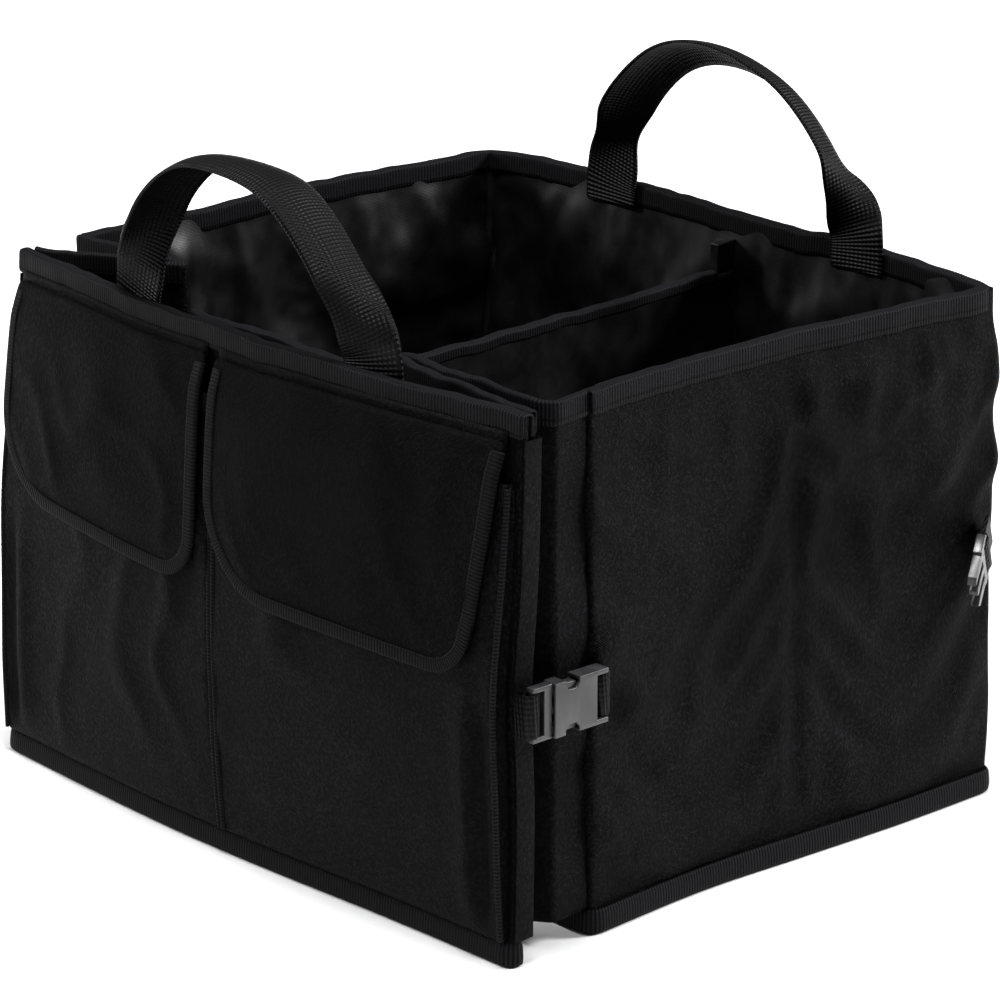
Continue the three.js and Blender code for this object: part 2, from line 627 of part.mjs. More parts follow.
// The socket's mouth is at u = 0 and its bar at u = SOCKET_LENGTH
function socket() {
  const body = thick(outline(rectangle(0, SOCKET_LENGTH, -halfBuckle, halfBuckle)), BUCKLE_THICKNESS);
  const mouth = thick(outline(rectangle(-1, SOCKET_MOUTH_DEPTH, -mouthHalf, mouthHalf)), PLUG_THICKNESS + 2 * GAP);
  const slot = thick(
    outline(rectangle(SOCKET_LENGTH - BAR - slotLength, SOCKET_LENGTH - BAR, -slotHalf, slotHalf)),
    2 * BUCKLE_THICKNESS,
  );
  const windows = [-1, 1].map((side) => thick(outline([
    [WINDOW_START, side * (halfBuckle + 1)],
    [WINDOW_START, side * (halfBuckle - WINDOW_DEPTH / 2)],
    [WINDOW_START + WINDOW_LENGTH / 4, side * (halfBuckle - WINDOW_DEPTH)],
    [WINDOW_START + (3 * WINDOW_LENGTH) / 4, side * (halfBuckle - WINDOW_DEPTH)],
    [WINDOW_START + WINDOW_LENGTH, side * (halfBuckle - WINDOW_DEPTH / 2)],
    [WINDOW_START + WINDOW_LENGTH, side * (halfBuckle + 1)],
  ]), 2 * BUCKLE_THICKNESS));
  const bar = saddles(SOCKET_LENGTH - BAR - slotLength / 2, SOCKET_LENGTH + 1);
  return cut(body, mouth, slot, ...windows, ...bar);
}

// The plug's bar is at u = 0 and its prongs point to +u
function plug() {
  const neck = PLUG_FRAME_LENGTH;
  const tip = neck + PRONG_LENGTH;
  const outer = mouthHalf - GAP;
  const inner = outer - PRONG_WIDTH;
  const guide = GUIDE_WIDTH / 2;
  const shape = outline([
    [-BAR / 2, -halfBuckle],
    [neck, -halfBuckle],
    [neck, -outer],
    [tip - 3, -outer],
    [tip, -inner - 1],
    [neck + WINDOW_START, -inner],
    [neck, -inner],
    [neck, -guide],
    [tip - 2, -guide],
    [tip - 1, 0],
    [tip - 2, guide],
    [neck, guide],
    [neck, inner],
    [neck + WINDOW_START, inner],
    [tip, inner + 1],
    [tip - 3, outer],
    [neck, outer],
    [neck, halfBuckle],
    [-BAR / 2, halfBuckle],
  ]);
  const slot = rectangle(BAR / 2, BAR / 2 + slotLength, -slotHalf, slotHalf);
  const frame = thick(withHoles(shape, [slot]), PLUG_THICKNESS);
  return cut(frame, ...saddles(-BAR, BAR / 2 + slotLength / 2));
}

// A strap sewn into a loop around a bar at the origin. Its root is at u = -length, sunk by a drop.
const loopRadius = (BAR * Math.SQRT2) / 2 + GAP;
const loopBack = BAR / 2 + GAP;
const loopLength = loopBack + loopRadius + STRAP;

function strapLoop(length, drop) {
  const outside = loopRadius + STRAP;
  const shape = withHoles(outline([
    ...arc(0, 0, outside, -90, 90, 8),
    [-loopBack, outside],
    [-loopLength, STRAP],
    [-length, drop + STRAP],
    [-length, drop - STRAP],
    [-loopLength, -STRAP],
    [-loopBack, -outside],
  ]), [[
    ...arc(0, 0, loopRadius, -90, 90, 8),
    [-loopBack, loopRadius],
    [-loopBack - loopRadius, 0],
    [-loopBack, -loopRadius],
  ]]);
  const geometry = rise(shape, -STRAP_WIDTH / 2, STRAP_WIDTH / 2);
  const turn = new THREE.Matrix4().set(0, 1, 0, 0, 1, 0, 0, 0, 0, 0, -1, 0, 0, 0, 0, 1);
  return geometry.applyMatrix4(turn);
}

// Local frame of a buckle: u along +Y, w along +Z and the thickness along +X
const buckleX = HALF_W + GAP + CLOTH + BUCKLE_STANDOFF + BUCKLE_THICKNESS / 2;
const socketBarY = -HALF_D - BAR - STRAP;
const socketMouthY = socketBarY + BAR / 2 - SOCKET_LENGTH;
const plugBarY = socketMouthY - GAP - PLUG_FRAME_LENGTH;
const wallDrop = HALF_W + GAP + STRAP - buckleX;
const bandDrop = bandX + CLOTH + GAP + STRAP - buckleX;
const socketRoot = loopLength + 2 * STRAP;
const plugRoot = loopLength + STRAP;

function placed(geometry, x, y, z) {
  return geometry.clone().translate(x, y, z);
}

function facingRear(geometry) {
  return geometry.clone().rotateX(Math.PI);
}

const frontPieces = {
  buckle_socket: [placed(socket(), buckleX, socketMouthY, BUCKLE_Z), plastic],
  buckle_plug_front: [placed(plug(), buckleX, plugBarY, BUCKLE_Z), plastic],
  strap_socket: [placed(facingRear(strapLoop(socketRoot, wallDrop)), buckleX, socketBarY, BUCKLE_Z), webbing],
  strap_plug_front: [placed(strapLoop(plugRoot, bandDrop), buckleX, plugBarY, BUCKLE_Z), webbing],
};

for (const [name, [geometry, finish]] of Object.entries(frontPieces)) {
  add(`${name}_right`, geometry, finish);
  add(`${name}_left`, mirrored(geometry), finish);
}

// The rear plugs hang on their webbing beside the rear corners, prongs forwards, outwards and down
const rearTurn = new THREE.Matrix4()
  .makeRotationZ(THREE.MathUtils.degToRad(REAR_PLUG_SWING))
  .multiply(new THREE.Matrix4().makeRotationX(THREE.MathUtils.degToRad(REAR_PLUG_DROOP)))
  .multiply(new THREE.Matrix4().makeRotationZ(Math.PI));
const rearPlace = new THREE.Matrix4()
  .makeTranslation(HALF_W + REAR_PLUG_OUT, HALF_D - REAR_PLUG_FORWARD, REAR_PLUG_Z)
  .multiply(rearTurn);
const rearPieces = {
  buckle_plug_rear: [plug().applyMatrix4(rearPlace), plastic],
  strap_plug_rear: [strapLoop(REAR_STRAP_LENGTH, 0).applyMatrix4(rearPlace), webbing],
};

for (const [name, [geometry, finish]] of Object.entries(rearPieces)) {
  add(`${name}_right`, geometry, finish);
  add(`${name}_left`, mirrored(geometry), finish);
}

export default organizer;
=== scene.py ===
"""A black folding boot organizer: its cloth, tapes, webbing and buckles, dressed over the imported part."""
import json
import logging
import math
from dataclasses import dataclass, field
from enum import Enum
from typing import Callable, Optional, Sequence, Union

import bmesh
import bpy
from mathutils import Matrix, Vector, noise

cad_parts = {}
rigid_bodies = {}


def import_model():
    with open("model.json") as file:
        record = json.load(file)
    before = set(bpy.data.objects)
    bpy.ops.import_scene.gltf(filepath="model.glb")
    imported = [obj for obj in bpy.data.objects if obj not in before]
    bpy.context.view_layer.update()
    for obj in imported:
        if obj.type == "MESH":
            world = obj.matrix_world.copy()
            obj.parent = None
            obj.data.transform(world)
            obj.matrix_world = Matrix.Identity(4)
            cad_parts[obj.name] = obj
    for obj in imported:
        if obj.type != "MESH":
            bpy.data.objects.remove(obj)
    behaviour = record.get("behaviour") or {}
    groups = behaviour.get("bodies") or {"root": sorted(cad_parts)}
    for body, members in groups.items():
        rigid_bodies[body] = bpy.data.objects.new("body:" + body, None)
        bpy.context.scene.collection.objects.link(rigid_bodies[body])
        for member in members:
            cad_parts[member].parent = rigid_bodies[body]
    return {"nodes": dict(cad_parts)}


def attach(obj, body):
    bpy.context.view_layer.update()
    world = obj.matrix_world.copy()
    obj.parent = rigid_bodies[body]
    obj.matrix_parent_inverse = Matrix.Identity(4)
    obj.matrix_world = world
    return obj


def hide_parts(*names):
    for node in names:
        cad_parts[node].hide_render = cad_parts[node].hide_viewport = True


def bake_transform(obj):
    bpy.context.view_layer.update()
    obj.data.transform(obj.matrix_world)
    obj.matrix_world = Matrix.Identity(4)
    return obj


for leftover in list(bpy.data.objects):
    bpy.data.objects.remove(leftover)
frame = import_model()

LOG = logging.getLogger("organizer")
MM = 0.001
TURN = 2 * math.pi
UV = "Weave"
HEIGHT = 280.0
HALF_WIDTH = 200.0
CORNER_Y = 146.0
FOLD_RADIUS = 2.8
ROOT = "organizer"
Pair = tuple[float, float]
Place = Callable[[float, float], Vector]
Lift = Callable[[Vector, float, float], float]
Facing = Callable[[Vector], Vector]
Station = tuple[Vector, Vector, Vector]
Colour = tuple[float, float, float]
UP = Vector((0, 0, 1))
HALF_TURN = range(0, 181, 30)


class Named(Enum):
    """A member whose name is part of the nodes' names."""

    @property
    def word(self) -> str:
        """The name as the nodes spell it."""
        return self.name.lower()


class Side(Named):
    """A side of the organizer, seen from its front, with the sign of its X."""

    LEFT = -1
    RIGHT = 1


class End(Named):
    """The front or the rear of the organizer, with the sign of its Y."""

    FRONT = -1
    REAR = 1


def eased(value: float, low: float, high: float) -> float:
    """A smooth step.

    Args:
        value: Where to read the step.
        low: Where the step leaves 0.
        high: Where the step reaches 1.

    Returns:
        A number from 0 to 1.
    """
    t = min(max((value - low) / (high - low), 0.0), 1.0)
    return t * t * (3 - 2 * t)


def mound(value: float, middle: float, reach: float) -> float:
    """A smooth bump that is 1 at the middle and fades over its reach.

    Args:
        value: Where to read the bump.
        middle: The bump's middle.
        reach: How far from the middle it has fallen to about a third.

    Returns:
        A number from 0 to 1.
    """
    return math.exp(-(((value - middle) / reach) ** 2))


def through(knots: Sequence[Pair], x: float) -> float:
    """A smooth line through knots, level beyond the first and the last.

    Args:
        knots: Pairs of place and value, in rising order of place.
        x: The place to read.

    Returns:
        The value there.
    """
    if x <= knots[0][0]:
        return knots[0][1]
    if x >= knots[-1][0]:
        return knots[-1][1]
    i = max(k for k in range(len(knots) - 1) if knots[k][0] <= x)
    before, start, end = knots[max(i - 1, 0)], knots[i], knots[i + 1]
    after = knots[min(i + 2, len(knots) - 1)]
    span = end[0] - start[0]
    t = (x - start[0]) / span
    m0 = (end[1] - before[1]) / (end[0] - before[0]) * span
    m1 = (after[1] - start[1]) / (after[0] - start[0]) * span
    return (
        (2 * t**3 - 3 * t**2 + 1) * start[1]
        + (t**3 - 2 * t**2 + t) * m0
        + (3 * t**2 - 2 * t**3) * end[1]
        + (t**3 - t**2) * m1
    )


def ripple(point: Vector, scale: float, seed: float) -> float:
    """Smooth noise.

    Args:
        point: A point, in mm.
        scale: The size of its lumps, in mm.
        seed: Which pattern is read.

    Returns:
        A number from about -1 to 1.
    """
    return noise.noise(point / scale + Vector((seed, seed * 1.7, seed * 0.3)))


@dataclass(frozen=True)
class Folds:
    """Long soft folds that run across a direction and wander.

    They stand out by deep at most and are pitch apart, both in mm. The seed picks the pattern.
    """

    deep: float
    direction: tuple[float, float, float]
    pitch: float
    seed: float

    def at(self, point: Vector) -> float:
        """Reads the folds.

        Args:
            point: A point, in mm.

        Returns:
            How far the cloth stands out there, in mm.
        """
        wander = 0.55 * ripple(point, self.pitch * 2.2, self.seed)
        wander += 0.2 * ripple(point, self.pitch * 0.8, self.seed + 3)
        phase = point.dot(Vector(self.direction).normalized()) / self.pitch + 2.2 * wander
        ridge = 0.5 + 0.5 * math.cos(TURN * phase)
        patch = eased(ripple(point, self.pitch * 3.1, self.seed + 8), -0.25, 0.4)
        return self.deep * ridge**3 * patch


@dataclass(frozen=True)
class Lie:
    """How the empty bag has settled: its walls bow out between the corners and its sides lean a little.

    Each line of knots gives how far that wall stands from its flat place, in mm.
    """

    rear_rim: Sequence[Pair] = (
        (-204, 4), (-194, 12), (-138, 18), (-86, 16), (16, 10), (106, 9), (196, -3)
    )
    front_rim: Sequence[Pair] = (
        (-200, 12), (-150, 4), (-67, -4), (20, -8), (93, -6), (157, 0), (203, 5)
    )
    front_foot: Sequence[Pair] = ((-200, -8), (-67, -12), (12, -10), (121, -3), (202, 0))
    right_rim: Sequence[Pair] = ((-200, 4), (-141, -5), (-66, -10), (2, -10), (72, -4), (144, 0))
    right_foot: Sequence[Pair] = ((-200, 2), (-137, -2), (-63, -5), (5, -1), (76, 3), (144, 4))
    left_rim: Sequence[Pair] = ((-200, 0), (-120, -7), (0, -10), (90, -9), (144, -6))
    buckle_z: float = 136.0

    def calm(self, p: Vector) -> float:
        """How much of the lean is left near the buckles, which hold the cloth in place.

        Args:
            p: A point, in mm.

        Returns:
            0 beside a buckle and 1 far from all of them.
        """
        near = max(mound(p.y, -172, 46), mound(p.y, 130, 34))
        return 1 - mound(p.z, self.buckle_z, 44) * near * eased(abs(p.x), 120, 190)

    def settle(self, p: Vector) -> Vector:
        """Where a point of the flat bag comes to lie.

        Args:
            p: A point, in mm.

        Returns:
            The moved point, in mm.
        """
        h = min(max(p.z / HEIGHT, 0.0), 1.0)
        front = through(self.front_rim, p.x) * h + through(self.front_foot, p.x) * (1 - h)
        rear = through(self.rear_rim, p.x) * h**1.4
        right = through(self.right_rim, p.y) * h + through(self.right_foot, p.y) * (1 - h)
        left = through(self.left_rim, p.y) * h**1.8
        calm = self.calm(p)
        dx = right * eased(p.x, 50, 195) + left * eased(-p.x, 50, 195)
        dy = front * eased(-p.y, 150, 192) + rear * eased(p.y, 20, 140)
        dz = 2.2 * ripple(Vector((p.x, p.y, 0)), 62, 4) * h * h
        return p + Vector((dx * calm, dy * calm, dz))


LIE = Lie()


class Wire:
    """A value in a material's tree, which adds Math nodes when it is reckoned with."""

    def __init__(self, recipe: "Recipe", socket: bpy.types.NodeSocket) -> None:
        """Keeps the socket and the recipe that it belongs to."""
        self.recipe = recipe
        self.socket = socket

    def reckon(self, operation: str, *values: Union["Wire", float]) -> "Wire":
        """Adds one Math node.

        Args:
            operation: The node's operation.
            values: Its inputs in order.

        Returns:
            The node's value.
        """
        return self.recipe.node("ShaderNodeMath", {"operation": operation}, dict(enumerate(values)))

    def __add__(self, other: Union["Wire", float]) -> "Wire":
        """Self plus other."""
        return self.reckon("ADD", self, other)

    def __radd__(self, other: float) -> "Wire":
        """Other plus self."""
        return self.reckon("ADD", other, self)

    def __sub__(self, other: Union["Wire", float]) -> "Wire":
        """Self minus other."""
        return self.reckon("SUBTRACT", self, other)

    def __rsub__(self, other: float) -> "Wire":
        """Other minus self."""
        return self.reckon("SUBTRACT", other, self)

    def __mul__(self, other: Union["Wire", float]) -> "Wire":
        """Self times other."""
        return self.reckon("MULTIPLY", self, other)

    def __rmul__(self, other: float) -> "Wire":
        """Other times self."""
        return self.reckon("MULTIPLY", other, self)

    def wave(self) -> "Wire":
        """A sine of self, moved to run from 0 to 1."""
        return self.reckon("SINE", self) * 0.5 + 0.5

    def size(self) -> "Wire":
        """Self without its sign."""
        return self.reckon("ABSOLUTE", self)

    def part(self) -> "Wire":
        """What is left of self above a whole number."""
        return self.reckon("FRACT", self)

    def below(self, limit: float) -> "Wire":
        """1 where self is under the limit, and 0 elsewhere."""
        return self.reckon("LESS_THAN", self, limit)

    def stretched(self, low: float, high: float) -> "Wire":
        """Self moved so that low becomes 0 and high becomes 1, held between them.

        Args:
            low: The value that becomes 0.
            high: The value that becomes 1.

        Returns:
            A value from 0 to 1.
        """
        inputs = {"Value": self, "From Min": low, "From Max": high}
        return self.recipe.node("ShaderNodeMapRange", {"clamp": True}, inputs)


class Recipe:
    """One procedural material in the making."""

    def __init__(self, name: str) -> None:
        """Starts a material that has its shader and nothing else."""
        self.material = bpy.data.materials.new(name)
        self.material.use_nodes = True
        self.tree = self.material.node_tree
        self.shader = self.tree.nodes["Principled BSDF"]

    def node(
        self,
        kind: str,
        settings: Optional[dict] = None,
        inputs: Optional[dict] = None,
        output: Union[int, str] = 0,
    ) -> Wire:
        """Adds a node, sets it and links it.

        Args:
            kind: The node's type.
            settings: Its own settings, which are set first.
            inputs: Values or wires for its sockets, by name or number.
            output: Which of its outputs is wanted.

        Returns:
            That output.
        """
        made = self.tree.nodes.new(kind)
        for key, value in (settings or {}).items():
            setattr(made, key, value)
        for key, value in (inputs or {}).items():
            if isinstance(value, Wire):
                self.tree.links.new(value.socket, made.inputs[key])
            else:
                made.inputs[key].default_value = value
        return Wire(self, made.outputs[output])

    def set(self, **values: Union[Wire, float, tuple]) -> None:
        """Puts values or wires on the shader.

        Args:
            values: One for each socket, with _ in its name for a space.
        """
        for key, value in values.items():
            socket = self.shader.inputs[key.replace("_", " ")]
            if isinstance(value, Wire):
                self.tree.links.new(value.socket, socket)
            else:
                socket.default_value = value

    def weave(self) -> tuple[Wire, Wire]:
        """The two directions of the cloth, in metres, from the piece's own UV map."""
        split = self.node("ShaderNodeSeparateXYZ", inputs={0: self.node("ShaderNodeUVMap", {"uv_map": UV})})
        return split, Wire(self, split.socket.node.outputs[1])

    def threads(self, pitch: float) -> tuple[Wire, Wire]:
        """Waves along and across the cloth, a pitch of that many mm apart."""
        along, across = (way * (TURN / (pitch * MM)) for way in self.weave())
        return along.wave(), across.wave()

    def noise(self, scale: float, detail: float = 2.0, rough: float = 0.5) -> Wire:
        """Noise in the piece's own space.

        Args:
            scale: Lumps to the metre.
            detail: Octaves of it.
            rough: How strong the fine octaves are.

        Returns:
            Its value from 0 to 1.
        """
        where = self.node("ShaderNodeTexCoord", output="Object")
        inputs = {"Vector": where, "Scale": scale, "Detail": detail, "Roughness": rough}
        return self.node("ShaderNodeTexNoise", inputs=inputs)

    def tint(self, amount: Wire, dark: Colour, light: Colour) -> Wire:
        """A colour between two.

        Args:
            amount: 0 for the dark colour and 1 for the light one.
            dark: Its red, green and blue.
            light: Its red, green and blue.

        Returns:
            The mixed colour.
        """
        inputs = {0: amount, 6: (*dark, 1), 7: (*light, 1)}
        return self.node("ShaderNodeMix", {"data_type": "RGBA"}, inputs, 2)

    def bumped(self, height: Wire, distance: float) -> None:
        """Roughens the surface by a height.

        Args:
            height: The height's value.
            distance: How far 1 stands out, in mm.
        """
        self.set(Normal=self.node("ShaderNodeBump", inputs={"Distance": distance * MM, "Height": height}))


@dataclass(frozen=True)
class Finish:
    """A procedural finish between two colours, with one gloss and one height of relief in mm."""

    name: str
    dark: Colour
    light: Colour
    gloss: float
    relief: float

    def surface(self, made: Recipe) -> tuple[Wire, Wire, Wire]:
        """What the finish looks like, which each kind gives."""
        raise NotImplementedError

    def material(self) -> bpy.types.Material:
        """Builds the material."""
        made = Recipe(self.name)
        amount, roughness, height = self.surface(made)
        colour = made.tint(amount, self.dark, self.light)
        made.set(Base_Color=colour, Roughness=roughness, Specular_IOR_Level=self.gloss)
        made.bumped(height, self.relief)
        return made.material


@dataclass(frozen=True)
class WovenCloth(Finish):
    """The coarse black polyester of the outside, which is coated behind and glints thread by thread."""

    name: str = "woven_cloth"
    dark: Colour = (0.0001, 0.0001, 0.0002)
    light: Colour = (0.0105, 0.0096, 0.0112)
    gloss: float = 0.03
    relief: float = 0.5
    pitch: float = 1.3
    roughness: float = 0.52
    speckle: float = 560.0

    def surface(self, made: Recipe) -> tuple[Wire, Wire, Wire]:
        """A basket weave under glinting threads, in lighter and darker clouds.

        Args:
            made: The material in the making.

        Returns:
            The amount of the light colour, the roughness and the height.
        """
        warp, weft = made.threads(self.pitch)
        basket = warp * weft + (1 - warp) * (1 - weft)
        glint = made.noise(self.speckle, 2.0, 0.7).stretched(0.44, 0.7)
        tone = made.noise(9, 3).stretched(0.3, 0.75)
        lit = (glint * 0.8 + basket * 0.2) * (0.35 + 0.65 * tone)
        return lit, self.roughness - 0.16 * glint, basket * 0.5 + glint * 0.5


@dataclass(frozen=True)
class ThinLining(Finish):
    """The thin shiny cloth of the inside."""

    name: str = "thin_lining"
    dark: Colour = (0.0003, 0.0003, 0.0004)
    light: Colour = (0.0036, 0.0036, 0.0042)
    gloss: float = 0.24
    relief: float = 0.12
    roughness: float = 0.36
    pitch: float = 0.8

    def surface(self, made: Recipe) -> tuple[Wire, Wire, Wire]:
        """Fine threads in soft clouds.

        Args:
            made: The material in the making.

        Returns:
            The amount of the light colour, the roughness and the height.
        """
        warp, weft = made.threads(self.pitch)
        soft = made.noise(60, 3).stretched(0.3, 0.7)
        fine = made.noise(700, 1.0)
        height = (warp * 0.5 + weft * 0.5) * 0.3 + fine * 0.3
        return soft * 0.6 + fine * 0.4, self.roughness + 0.14 * soft, height


@dataclass(frozen=True)
class RibbedTape(Finish):
    """Grosgrain: fine ribs across its run, and rows of stitches along it."""

    name: str = "ribbed_tape"
    dark: Colour = (0.0002, 0.0002, 0.0003)
    light: Colour = (0.0115, 0.0108, 0.0124)
    gloss: float = 0.04
    relief: float = 0.3
    rib: float = 1.9
    stitch: float = 4.4
    rows: Sequence[float] = ()
    roughness: float = 0.6

    def surface(self, made: Recipe) -> tuple[Wire, Wire, Wire]:
        """Ribs, lighter on their crests as a painted highlight, with painted shade in a dent and raised
        dashes along each row of stitches.

        Args:
            made: The material in the making.

        Returns:
            The amount of the light colour, the roughness and the height.
        """
        u, v = made.weave()
        ribs = (u * (TURN / (self.rib * MM))).wave()
        fine = made.noise(900, 1.5)
        height = ribs * 0.7 + fine * 0.3
        shine = ribs * 0.6 + fine * 0.5
        stitch_shade = []
        for row in self.rows:
            line = (v - row * MM).size().below(0.55 * MM)
            dash = (u * (1 / (self.stitch * MM))).part().below(0.72)
            height = height + line * (dash * 1.3 - 0.9)
            stitch_shade.append(line)
        # Painted shade: the colour is darkened along each row of stitches, where the tape dips.
        if stitch_shade:
            shine = shine * (1 - 0.5 * sum(stitch_shade[1:], stitch_shade[0]))
        return shine.stretched(0.1, 1.0), self.roughness - 0.1 * ribs, height


@dataclass(frozen=True)
class Webbing(Finish):
    """Heavy polypropylene webbing: thick ribs across it, in columns that are drawn in between."""

    name: str = "webbing"
    dark: Colour = (0.0012, 0.0012, 0.0014)
    light: Colour = (0.0058, 0.0055, 0.0063)
    gloss: float = 0.08
    relief: float = 0.6
    column: float = 3.2
    rib: float = 2.1
    offset: float = 0.12
    roughness: float = 0.5

    def surface(self, made: Recipe) -> tuple[Wire, Wire, Wire]:
        """Ribs that are a little offset from column to column; the colour is lighter on the rib crests and in
        each column's middle, a painted highlight, and darker where the columns are drawn in, painted shade.

        Args:
            made: The material in the making.

        Returns:
            The amount of the light colour, the roughness and the height.
        """
        u, v = made.weave()
        columns = v * (1 / (self.column * MM))
        shift = (columns - columns.part()) * self.offset
        ribs = ((u * (1 / (self.rib * MM)) + shift) * TURN).wave()
        cords = 1 - (columns.part() - 0.5).size() * 2
        fine = made.noise(1100, 1.0)
        # Painted highlight and shade: lighter on the rib crests and column middles, darker in the drawn-in
        # grooves between columns.
        amount = (ribs * 0.8 + fine * 0.3) * (0.4 + 0.6 * cords)
        return amount, self.roughness - 0.08 * ribs, ribs * 0.6 + cords * 0.35 + fine * 0.1


@dataclass(frozen=True)
class MouldedPlastic(Finish):
    """Satin black acetal, faintly pitted, a little polished where it rubs."""

    name: str = "moulded_plastic"
    dark: Colour = (0.010, 0.010, 0.011)
    light: Colour = (0.030, 0.030, 0.032)
    gloss: float = 0.6
    relief: float = 0.06

    def surface(self, made: Recipe) -> tuple[Wire, Wire, Wire]:
        """Fine pits and worn clouds.

        Args:
            made: The material in the making.

        Returns:
            The amount of the light colour, the roughness and the height.
        """
        pits = made.noise(1500, 2)
        worn = made.noise(90, 3).stretched(0.35, 0.7)
        return worn * 0.6 + pits * 0.3, 0.3 + 0.16 * worn, pits


@dataclass(frozen=True)
class GreyBoard(Finish):
    """Millboard, which stiffens the walls."""

    name: str = "grey_board"
    dark: Colour = (0.16, 0.12, 0.08)
    light: Colour = (0.32, 0.25, 0.17)
    gloss: float = 0.5
    relief: float = 0.2

    def surface(self, made: Recipe) -> tuple[Wire, Wire, Wire]:
        """Pressed fibres."""
        fibres = made.noise(320, 4, 0.7)
        return fibres, 0.85 + 0.1 * fibres, fibres


@dataclass(frozen=True)
class GripPatch(Finish):
    """Touch fastener: tight loops or hooks."""

    name: str = "grip_patch"
    dark: Colour = (0.0003, 0.0003, 0.0004)
    light: Colour = (0.0060, 0.0058, 0.0064)
    gloss: float = 0.1
    relief: float = 0.5
    grain: float = 1300.0

    def surface(self, made: Recipe) -> tuple[Wire, Wire, Wire]:
        """Fuzz."""
        fuzz = made.noise(self.grain, 2, 0.8)
        return fuzz, 0.9 - 0.1 * fuzz, fuzz


def worn(finish: Finish) -> bpy.types.Material:
    """A field of the wardrobe, whose material is built with the wardrobe."""
    return field(default_factory=finish.material)


@dataclass
class Wardrobe:
    """The finishes of this object, each built once."""

    cloth: bpy.types.Material = worn(WovenCloth())
    # Painted shade: a darker copy of the woven cloth for the flaps, which face away from the light.
    flap_cloth: bpy.types.Material = worn(
        WovenCloth("flap_cloth", light=(0.0056, 0.0052, 0.0060), gloss=0.02)
    )
    lining: bpy.types.Material = worn(ThinLining())
    tape: bpy.types.Material = worn(RibbedTape())
    rim_tape: bpy.types.Material = worn(RibbedTape("rim_tape", rows=(3.0, 27.4)))
    flap_tape: bpy.types.Material = worn(
        RibbedTape("flap_tape", light=(0.0066, 0.0062, 0.0072), rows=(1.4, 15.4))
    )
    hem_tape: bpy.types.Material = worn(RibbedTape("hem_tape", rows=(14.5,)))
    webbing: bpy.types.Material = worn(Webbing())
    strap: bpy.types.Material = worn(Webbing("strap_webbing", column=2.8, rib=1.9))
    plastic: bpy.types.Material = worn(MouldedPlastic())
    board: bpy.types.Material = worn(GreyBoard())
    patch: bpy.types.Material = worn(GripPatch())


class Path:
    """A line through points, measured along its length."""

    def __init__(self, points: Sequence[Vector]) -> None:
        """Keeps the points and how far along each one is, in mm."""
        self.points = [Vector(p) for p in points]
        self.along = [0.0]
        for first, second in zip(self.points, self.points[1:]):
            self.along.append(self.along[-1] + (second - first).length)

    @property
    def length(self) -> float:
        """The whole length."""
        return self.along[-1]

    def at(self, distance: float) -> Vector:
        """The point that far along.

        Args:
            distance: How far, in mm, which is held within the line.

        Returns:
            The point.
        """
        distance = min(max(distance, 0.0), self.length)
        i = max(k for k in range(len(self.along) - 1) if self.along[k] <= distance + 1e-9)
        span = self.along[i + 1] - self.along[i]
        return self.points[i].lerp(self.points[i + 1], (distance - self.along[i]) / span)

    def stops(self, cell: float) -> list[float]:
        """How far along cells would end, with one at each of the line's own points.

        Args:
            cell: The largest cell, in mm.

        Returns:
            Distances from the start to the end.
        """
        found = [0.0]
        for start, end in zip(self.along, self.along[1:]):
            count = max(math.ceil((end - start) / cell), 1)
            found += [start + (end - start) * k / count for k in range(1, count + 1)]
        return found

    def tangent(self, distance: float) -> Vector:
        """The line's direction there, smoothed over a few mm."""
        return (self.at(distance + 1.5) - self.at(distance - 1.5)).normalized()

    def paced(self, step: float) -> list[tuple[float, Vector, Vector]]:
        """Even paces along the line.

        Args:
            step: About how long a pace is, in mm.

        Returns:
            For each its share of the length, the point there and the direction.
        """
        count = max(round(self.length / step), 2)
        far = [self.length * k / count for k in range(count + 1)]
        return [(k / count, self.at(d), self.tangent(d)) for k, d in enumerate(far)]


def rounded(points: Sequence[Pair], radius: float, steps: int = 5) -> list[Vector]:
    """A line in plan with its corners rounded.

    Args:
        points: The corners, in mm.
        radius: The radius at each.
        steps: How many pieces each corner is made of.

    Returns:
        Points at Z 0.
    """
    corners = [Vector((p[0], p[1], 0)) for p in points]
    line = [corners[0]]
    for before, corner, after in zip(corners, corners[1:], corners[2:]):
        into, out = (corner - before).normalized(), (after - corner).normalized()
        reach = radius * math.tan(into.angle(out) / 2)
        start, end = corner - into * reach, corner + out * reach
        for k in range(steps + 1):
            t = k / steps
            line.append(start.lerp(corner, t).lerp(corner.lerp(end, t), t))
    return [*line, corners[-1]]


@dataclass(frozen=True)
class Slack:
    """How much a cloth is let out, and how far it may then move, in mm."""

    held: Lift
    stuff: float
    stiffness: float
    outward: float
    inward: float
    frames: int = 22
    quality: int = 5
    mass: float = 0.15
    air: float = 3.0
    slide: float = 4.0

    def limit(self, push: float) -> float:
        """A move along the normal, eased towards its limit on that side."""
        limit = self.outward if push > 0 else self.inward
        return push * limit / (limit + abs(push))


